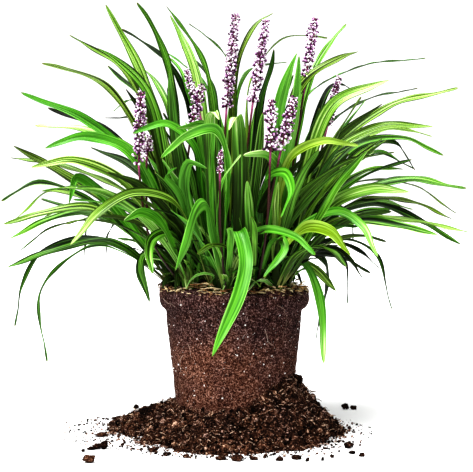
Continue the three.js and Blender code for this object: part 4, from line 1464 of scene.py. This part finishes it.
@dataclass
class SoilHeap:
    """The heap of loose soil round the ball's foot."""

    ball: RootBall
    node: str = "loose_soil_heap"
    radius: float = 127.0
    low_contact: float = 32.0
    high_contact: float = 66.0
    high_angle: float = math.radians(-22)
    contact_width: Range = (0.2, 1.25)
    edge: float = 2.2
    edge_waves: tuple[tuple[float, float, float], ...] = ((4, 3, 0.6), (2.5, 7, 0), (1.5, 12, 2))
    front_cut: float = 24.0
    ragged: tuple[Layer, ...] = ((12, 26, 79), (7, 11, 71), (3, 4, 73))
    ragged_from: Range = (0.72, 1.0)
    columns: int = 640
    rows: int = 96
    # its crumbs, from clods to fines: depth, spacing, pattern, and how much each tones the soil, most on its
    # top, so the gaps keep a painted shade
    grains: tuple[tuple[float, float, int, float], ...] = (
        (5.2, 12.0, 51, 0.3), (2.6, 4.4, 53, 0.42), (0.9, 2.0, 59, 0.36)
    )
    # painted shade: the dark tone that the gaps between crumbs fall to
    shaded_gap_tone: float = -0.02
    swell: Layer = (3.0, 17, 61)
    sunk: float = 4.9
    thin_edge: Range = (0.86, 1.0)
    skin: float = 0.25

    def contact(self, angle: np.ndarray | float) -> np.ndarray:
        """The height at which the heap meets the ball."""
        near = 1 - smooth(turn_between(angle, self.high_angle), *self.contact_width)
        return self.low_contact + (self.high_contact - self.low_contact) * near

    def outer(self, angle: np.ndarray | float) -> np.ndarray:
        """The radius at which the heap ends.

        Args:
            angle: the angles round the ball.

        Returns:
            The radius at each angle.
        """
        cut = self.front_cut * smooth(-np.sin(angle + 0.55), 0.2, 0.95)
        shift = 4 * np.sin(angle) - 11 * np.cos(angle)
        return self.radius + shift + waves(angle, self.edge_waves) - cut

    def surface(self, angle: np.ndarray | float, share: np.ndarray | float) -> np.ndarray:
        """Places on the heap's bare slope.

        Args:
            angle: the angles round the ball.
            share: the shares of the way from the ball to the edge.

        Returns:
            The places.
        """
        contact = self.contact(angle)
        inner = self.ball.radius_at(contact) - 2
        radius = inner + (self.outer(angle) - inner) * share
        fullness = 1.25 - 0.38 * smooth(-np.cos(angle), 0.3, 0.9)
        slope = np.clip(1 - share, 0, 1) ** fullness * contact
        return around(radius, angle, slope + self.edge * (1 - np.clip(share, 0, 1) ** 10))

    def build(self, finish: bpy.types.Material) -> bpy.types.Object:
        """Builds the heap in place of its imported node.

        Args:
            finish: the soil's material.

        Returns:
            The piece.
        """
        share = np.repeat(np.linspace(-0.05, 1.0, self.rows), self.columns)
        angle = np.tile(full_turn(self.columns), self.rows)
        place = self.surface(angle, share)
        place += around(swells(place, *self.ragged) * smooth(share, *self.ragged_from), angle, 0)
        relief, crumb = swells(place, self.swell) - self.sunk, np.full(len(place), self.shaded_gap_tone)
        # painted shade: each crumb's tone fades to the dark gap tone towards its edge
        for depth, spacing, seed, toning in self.grains:
            height, tone = granules(place, spacing, seed)
            relief += depth * height
            crumb += toning * tone * height
        relief *= 1 - 0.75 * smooth(share, *self.thin_edge)
        place[:, 2] = np.maximum(place[:, 2] + relief, self.skin * (share < 1))
        place[share >= 1, 2] = 0.0
        # the last ring lies on the floor under the first, so that sole and inner wall close it
        points = np.vstack([place, place[: self.columns] * [1, 1, 0]])
        quads = grid_quads(self.rows + 1, self.columns)
        slope, sole = quads[: -self.columns, ::-1], quads[-self.columns :]
        first = np.arange(self.columns)
        after = (first + 1) % self.columns
        wall = np.stack([first, after, len(place) + after, len(place) + first], axis=1)
        shares = np.append(share, np.ones(self.columns))
        dryness = 0.35 + 0.35 * drift(points, 26, 67) + 0.4 * smooth(shares, 0.5, 1)
        draft = MeshDraft(("crumb", "dryness"))
        draft.add(
            points,
            [slope, wall, sole],
            crumb=np.append(crumb, np.full(self.columns, 0.3)),
            dryness=np.clip(dryness, 0, 1),
        )
        return dressed(draft.build("fine_" + self.node, [finish]), self.node)


@dataclass
class SoilCrumbs:
    """Loose crumbs, fibres and clods on the heap and on the floor round it."""

    heap: SoilHeap
    on_heap: int = 2600
    fibres: int = 1300
    on_floor: int = 3500
    heap_radii: Skew = (0.5, 2.8, 4.0)
    floor_radii: Skew = (0.32, 2.22, 3.5)
    # how many rings of vertices a crumb has: a small one, a large one and a clod
    small_rows: int = 2
    large_rows: int = 4
    clod_rows: int = 16
    large_radius: float = 1.3
    floor_gap: float = 0.02
    # where more crumbs lie on the floor: the angle, and how far they spread from it
    drifts: tuple[Range, ...] = ((math.pi, 0.4), (1.5 * math.pi, 0.6))
    # how far from the heap they lie, and how much farther in the first drift
    spread: float = 36.0
    drift_spread: float = 66.0
    dust_reach: float = 110.0
    # x, y, the height that it lies at, half its width, its height, and how red and dry it is
    clods: tuple[tuple[float, float, float, float, float, float], ...] = (
        (-130, -83, 0, 4.2, 8.5, 0.1), (-137, -84, 0, 4.6, 6.5, 0.2), (-142, -87, 0, 4.0, 3.8, 0.1),
        (-149, -96, 0, 2.2, 3.0, 0.1), (-137, -146, 0, 5.6, 8.0, 0.7), (-80, -96, 0, 5.4, 5.0, 0.5),
        (-65, -114, 0, 3.6, 4.0, 0.2), (-118, 156, 0, 3.6, 4.5, 0.1), (-113, -66, 0, 2.1, 2.2, 0.3),
        (133, 149, 0, 3.8, 7.5, 0.1), (143, 149, 0, 4.0, 5.5, 0.3), (115, -79, 0, 4.6, 7.5, 0.3),
        (116, -106, 0, 3.4, 3.0, 0.2), (124, -119, 0, 2.8, 3.6, 0.3), (70, -140, 0, 2.9, 2.8, 0.2),
        (85, -136, 0, 2.8, 2.8, 0.1), (95, -124, 0, 2.4, 3.0, 0.4), (-8, -118, 0, 3.2, 3.0, 0.6),
        (30, -124, 0, 2.6, 2.6, 0.3), (67, -20, 57, 5.2, 9.0, 0.1), (62, -34, 55, 3.2, 5.0, 0.3),
        (-94, -2, 16, 7.0, 12.0, 0.1), (-86, 6, 20, 6.0, 11.0, 0.2), (-118, 84, 0, 10.0, 6.0, 0.4),
        (-132, 80, 0, 8.0, 4.0, 0.5), (-140, -18, 0, 7.0, 4.0, 0.6), (-12, -133, 0, 5.0, 4.0, 0.5),
        (3, -136, 0, 6.5, 5.0, 0.45), (19, -134, 0, 4.5, 3.6, 0.5), (44, -137, 0, 4.0, 3.6, 0.4),
        (60, -131, 0, 5.0, 4.5, 0.5), (-46, -124, 0, 4.0, 3.4, 0.6),
    )

    def add_crumb(
        self, draft: MeshDraft, place: np.ndarray, size: np.ndarray, tone: float, rows: int,
        draw: np.random.Generator,
    ) -> None:
        """Adds one crumb, with a broken surface, or with knobs too where it is a clod.

        Args:
            draft: the crumbs' mesh.
            place: its middle.
            size: its three half sizes.
            tone: how red and dry it is.
            rows: how finely it is made.
            draw: the crumbs' random stream.
        """
        ball, faces = pebble(rows, rows + 3)
        rough = roughened(ball, 0.32, 0.6, 83, draw)
        if rows == self.clod_rows:
            knobs, _ = granules(ball * 6 + draw.uniform(0, 50, 3), 3.2, 89)
            rough = rough * (0.7 + 0.45 * knobs)[:, None]
        turn = random_turn(draw)
        points = (ball * rough * size) @ (turn if max(size) < 3 else np.eye(3)) + place
        points[:, 2] = np.maximum(points[:, 2], self.floor_gap)
        crumb = 0.15 + 0.4 * tone if rows == self.clod_rows else draw.uniform(0, 0.8)
        draft.add(points, faces, crumb=crumb, dryness=tone)

    def add_fibre(self, draft: MeshDraft, draw: np.random.Generator) -> None:
        """Adds one bark fibre that sticks out of the heap.

        Args:
            draft: the crumbs' mesh.
            draw: the crumbs' random stream.
        """
        place = self.heap.surface(any_angle(draw), draw.uniform(0.0, 1.05))
        place = place + [0, 0, draw.uniform(0.8, 3.4)]
        heading, tilt, length = any_angle(draw), draw.uniform(-0.5, 0.7), draw.uniform(2, 8)
        step = around(1.0, heading, math.sin(tilt)) * length
        line = np.stack([place, place + 0.5 * step + [0, 0, draw.uniform(0, 1)], place + step])
        shape, faces = tube(line, np.array([0.3, 0.5, 0.2]) * draw.uniform(0.6, 1.3), 3)
        shape[:, 2] = np.maximum(shape[:, 2], self.floor_gap)
        draft.add(shape, faces, crumb=draw.uniform(0.3, 1.0), dryness=draw.uniform(0.3, 1.0))

    def build(self, finish: bpy.types.Material) -> bpy.types.Object:
        """Builds the crumbs as one piece.

        Args:
            finish: the soil's material.

        Returns:
            The piece.
        """
        draw = np.random.default_rng(907)
        draft = MeshDraft(("crumb", "dryness"))
        for x, y, base, wide, tall, tone in self.clods:
            size = np.array([wide, wide * draw.uniform(0.7, 0.95), tall / 2])
            middle = np.array([x, y, base + tall * 0.45])
            self.add_crumb(draft, middle, size, tone, self.clod_rows, draw)
        for _ in range(self.on_heap):
            place = self.heap.surface(any_angle(draw), draw.uniform() ** 0.8)
            radius = skewed(draw, *self.heap_radii)
            size = radius * draw.uniform(0.4, 1.35, 3)
            place = place + [0, 0, draw.uniform(0.2, 3.6)]
            rows = self.small_rows if radius < self.large_radius else self.large_rows
            self.add_crumb(draft, place, size, draw.uniform() ** 1.5, rows, draw)
        for _ in range(self.fibres):
            self.add_fibre(draft, draw)
        for number in range(self.on_floor):
            angle = any_angle(draw)
            if number % 4 < len(self.drifts):
                angle = draw.normal(*self.drifts[number % 4])
            middle, width = self.drifts[0]
            spread = self.spread + self.drift_spread * math.exp(-(((angle - middle) / width) ** 2))
            beyond = spread * draw.uniform() ** 1.8
            common, rare, power = self.floor_radii
            rare = common + (rare - common) * (1 - beyond / self.dust_reach)
            radius = skewed(draw, common, rare, power)
            place = around(self.heap.outer(angle) - 5 + beyond, angle, radius * 0.5)
            size = radius * draw.uniform(0.5, 1.2, 3)
            self.add_crumb(draft, place, size, draw.uniform(0, 0.6), self.small_rows, draw)
        return dressed(draft.build("loose_crumbs", [finish]))


@dataclass
class BallDetails:
    """Perlite grit and root threads in the ball's surface, and dry litter along its top edge."""

    ball: RootBall
    slot: str = "root_ball_soil"
    stand: float = 0.15
    grit_count: int = 420
    grit_radii: Skew = (0.22, 0.97, 4.0)
    grit_heights: Range = (40.0, 153.0)
    thread_count: int = 9
    thread_step: float = 2.0
    thread_radii: Range = (0.3, 0.12)
    # threads that stand out in front: angle, height, heading and length
    front_threads: tuple[tuple[float, float, float, float], ...] = (
        (math.radians(-57), 143, -0.9, 52), (math.radians(-64), 118, -1.2, 24)
    )
    # strips and fibres: how many, how far out they begin, how long and how wide they are
    litter_count: int = 200
    litter_starts: Skew = (79.0, 53.0, 1.4)
    litter_lengths: Range = (6.0, 26.0)
    litter_widths: Skew = (0.3, 1.3, 2.0)
    litter_rises: Skew = (0.8, 8.8, 2.0)
    fibre_count: int = 520
    fibre_starts: Skew = (79.5, 59.5, 2.0)
    fibre_lengths: Range = (3.0, 11.0)
    fibre_width: float = 0.32
    farthest: float = 81.0

    def build_grit(self, finish: bpy.types.Material) -> bpy.types.Object:
        """Builds the white grit that shows in the soil.

        Args:
            finish: the grit's material.

        Returns:
            The piece.
        """
        draw = np.random.default_rng(311)
        draft = MeshDraft(("salt",))
        ball, faces = pebble(3, 5)
        for _ in range(self.grit_count):
            place = self.ball.on_side(any_angle(draw), draw.uniform(*self.grit_heights), self.stand)
            size = skewed(draw, *self.grit_radii) * draw.uniform(0.7, 1.3, 3)
            shape = ball * roughened(ball, 0.3, 0.7, 97, draw) * size
            draft.add(shape @ random_turn(draw) + place, faces, salt=draw.uniform(0.3, 1))
        return dressed(draft.build("perlite_grit", [finish]))

    def build_threads(self, finish: bpy.types.Material) -> bpy.types.Object:
        """Builds the fine roots that wander over the ball's side.

        Args:
            finish: the roots' material.

        Returns:
            The piece.
        """
        draw = np.random.default_rng(313)
        draft = MeshDraft(("salt",))
        limits = ((0, FULL_TURN), (60, 150), (-2.6, -0.5), (8, 34))
        chosen = [tuple(draw.uniform(*pair) for pair in limits) for _ in range(self.thread_count)]
        for angle, z, heading, length in (*self.front_threads, *chosen):
            line = []
            for _ in range(int(length / self.thread_step)):
                line.append(self.ball.on_side(angle, z, draw.uniform(0.45, 0.65)))
                heading += draw.uniform(-0.45, 0.45)
                angle += self.thread_step * math.cos(heading) / 75
                z = min(z + self.thread_step * math.sin(heading), 154)
            radii = np.linspace(*self.thread_radii, len(line)) * draw.uniform(0.7, 1.1)
            draft.add(*tube(np.array(line), radii, 5), salt=draw.uniform(0.35, 0.95))
        return dressed(draft.build("root_threads", [finish]))

    def build_litter(self, finish: bpy.types.Material) -> bpy.types.Object:
        """Builds the dead leaf bases, roots and bark bits that lie along the top edge.

        Args:
            finish: the litter's material.

        Returns:
            The piece.
        """
        draw = np.random.default_rng(317)
        draft = MeshDraft(("salt",))
        top = self.ball.height
        for number in range(self.litter_count):
            angle = draw.normal(-0.6, 0.25) if number % 5 == 0 else any_angle(draw)
            reach = skewed(draw, *self.litter_starts)
            heading = angle + math.pi / 2 + draw.normal(0, 1.1)
            length, width = draw.uniform(*self.litter_lengths), skewed(draw, *self.litter_widths)
            start = around(reach, angle, top + skewed(draw, *self.litter_rises))
            self.add_strip(draft, start, heading, length, width, draw)
        for _ in range(self.fibre_count):
            angle, reach = any_angle(draw), skewed(draw, *self.fibre_starts)
            start = around(reach, angle, top + draw.uniform(-3, 4))
            heading, length = any_angle(draw), draw.uniform(*self.fibre_lengths)
            self.add_strip(draft, start, heading, length, self.fibre_width, draw)
        return dressed(draft.build("dry_litter", [finish]))

    def add_strip(
        self, draft: MeshDraft, start: np.ndarray, heading: float, length: float, width: float,
        draw: np.random.Generator,
    ) -> None:
        """Adds one curled dry strip.

        Args:
            draft: the litter's mesh.
            start: where it begins.
            heading: the way that it lies.
            length: its length.
            width: half its greatest width.
            draw: the litter's random stream.
        """
        line, place, tilt = [], start, draw.uniform(-0.25, 0.4)
        for _ in range(6):
            line.append(place)
            place = place + around(1.0, heading, math.sin(tilt)) * length / 5
            inward = min(1, self.farthest / math.hypot(place[0], place[1]))
            place = place * [inward, inward, 1]
            heading += draw.uniform(-0.75, 0.75)
            tilt = 0.6 * tilt + draw.uniform(-0.35, 0.15)
        flat = np.where(np.arange(6) % 3 == 0, 1.0, 0.3)
        taper = np.sin(np.linspace(0.45, math.pi - 0.25, 6)) ** 0.6
        draft.add(*tube(np.array(line), width * taper[:, None] * flat, 6), salt=draw.uniform(0.2, 1.25))


# ------------------------------------------------------------------ studio


@dataclass
class Studio:
    """A plain white floor in soft light, and the camera that looks at the clump's front."""

    camera_x: float = 2.7
    camera_y: float = -1250.0
    camera_z: float = 240.0
    pitch_down: float = 1.32
    sensor: float = 36.0
    lens: float = 89.2
    backdrop: float = 1.1
    ambient: float = 0.09
    floor: str = "#e2e2e2"
    floor_size: float = 60.0  # in metres, so that its edge lies far behind the clump
    exposure: float = 0.25
    gamma: float = 0.8
    # name, how far round from the front and how high in degrees, spread in degrees, power
    lights: tuple[tuple[str, tuple[float, float], float, float], ...] = (
        ("key", (-30.0, 59.0), 38.0, 6.6),
        ("fill", (52.0, 38.0), 50.0, 0.4),
        ("top", (165.0, 74.0), 60.0, 2.4),
    )

    @classmethod
    def seen_at(cls, point: np.ndarray) -> tuple[float, float]:
        """Where a point stands in the front view, on the plane through the ball's axis.

        Args:
            point: a place in millimetres.

        Returns:
            Its x and z on that plane, in millimetres.
        """
        nearness = -cls.camera_y / (point[1] - cls.camera_y)
        x, z = point[0] - cls.camera_x, point[2] - cls.camera_z
        return cls.camera_x + x * nearness, cls.camera_z + z * nearness

    def build(self) -> None:
        """Makes the floor, the surroundings, the lights and the camera, and sets the view."""
        material, tree = new_tree("studio_floor")
        paper = {"Base Color": linear(self.floor), "Roughness": 1.0, "Specular IOR Level": 0.0}
        add_node(tree, "OutputMaterial", {"Surface": add_node(tree, "BsdfPrincipled", paper)})
        bpy.ops.mesh.primitive_plane_add(size=self.floor_size, location=(0, 0, 0))
        floor = bpy.context.object
        floor.name = "studio_floor"
        floor.data.materials.append(material)
        self.add_surround()
        for name, bearing, spread, power in self.lights:
            self.add_light(name, bearing, spread, power)
        camera = bpy.data.objects.new("camera", bpy.data.cameras.new("camera"))
        bpy.context.scene.collection.objects.link(camera)
        camera.location = (self.camera_x * MM, self.camera_y * MM, self.camera_z * MM)
        camera.rotation_euler = (math.radians(90 - self.pitch_down), 0, 0)
        camera.data.sensor_width = self.sensor
        camera.data.lens = self.lens
        bpy.context.scene.camera = camera
        view = bpy.context.scene.view_settings
        view.view_transform = "Standard"
        view.exposure = self.exposure
        view.gamma = self.gamma

    def add_surround(self) -> None:
        """Makes a white backdrop whose own light on the clump is kept low."""
        world = bpy.data.worlds.new("studio_surround")
        bpy.context.scene.world = world
        world.use_nodes = True
        tree = world.node_tree
        tree.nodes.clear()
        backdrop, ambient = (
            add_node(tree, "Background", {"Color": (1.0, 1.0, 1.0, 1.0), "Strength": strength})
            for strength in (self.backdrop, self.ambient)
        )
        seen = add_node(tree, "LightPath", output="Is Camera Ray")
        both = add_node(tree, "MixShader", {0: seen, 1: ambient, 2: backdrop})
        add_node(tree, "OutputWorld", {"Surface": both})

    def add_light(self, name: str, bearing: tuple[float, float], spread: float, power: float) -> None:
        """Adds a broad soft light that shines evenly on the whole floor.

        Args:
            name: its name.
            bearing: how far round from the front and how high it stands, in degrees.
            spread: how wide it looks from the clump, in degrees.
            power: its strength.
        """
        light = bpy.data.objects.new(name, bpy.data.lights.new(name, "SUN"))
        bpy.context.scene.collection.objects.link(light)
        light.data.angle = math.radians(spread)
        light.data.energy = power
        light.rotation_euler = (math.radians(90 - bearing[1]), 0, math.radians(bearing[0]))


# ------------------------------------------------------------------ assembly


@dataclass
class LiriopeClump:
    """The whole plant with its root ball and soil."""

    tufts: int = 20
    spikes: int = 12
    field_radius: float = 63.0
    tuft_seed: int = 1000
    spike_seed: int = 2000

    def tuft_centre(self, number: int) -> np.ndarray:
        """Where a crown stands, in a sunflower's order."""
        reach = self.field_radius * math.sqrt((number + 0.4) / (self.tufts - 0.6))
        return reach * facing(number * GOLDEN_ANGLE)

    def build(self) -> list[bpy.types.Object]:
        """Builds every piece.

        Returns:
            The pieces, in the order in which they are built.
        """
        leaf = LivingLeafFinish().material()
        straw, scape, bud, perlite, root = (f.material() for f in (STRAW, SCAPE, BUD, PERLITE, ROOT))
        ball_soil, heap_soil = BALL_SOIL.material(), HEAP_SOIL.material()
        pieces = []
        for number in range(self.tufts):
            tuft = LeafTuft(f"leaf_tuft_{number + 1:02d}", self.tuft_centre(number))
            pieces.append(tuft.build(leaf, self.tuft_seed + number))
        for number in range(self.spikes):
            pieces.append(FlowerStem(f"flower_stem_{number + 1:02d}").build(scape))
            head = FlowerHead(f"flower_head_{number + 1:02d}")
            pieces.append(head.build([bud, scape], self.spike_seed + number))
        ball = RootBall()
        heap, details = SoilHeap(ball), BallDetails(ball)
        pieces += [ball.build(ball_soil), heap.build(heap_soil), SoilCrumbs(heap).build(heap_soil)]
        pieces += [details.build_grit(perlite), details.build_threads(root), details.build_litter(straw)]
        return pieces


def main() -> None:
    """Builds the clump and the studio, and reports each piece."""
    logging.basicConfig(level=logging.INFO, format="%(message)s")
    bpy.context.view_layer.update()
    for piece in LiriopeClump().build():
        log.info("%s: %d faces", piece.name, len(piece.data.polygons))
    Studio().build()


if __name__ == "__main__":
    main()
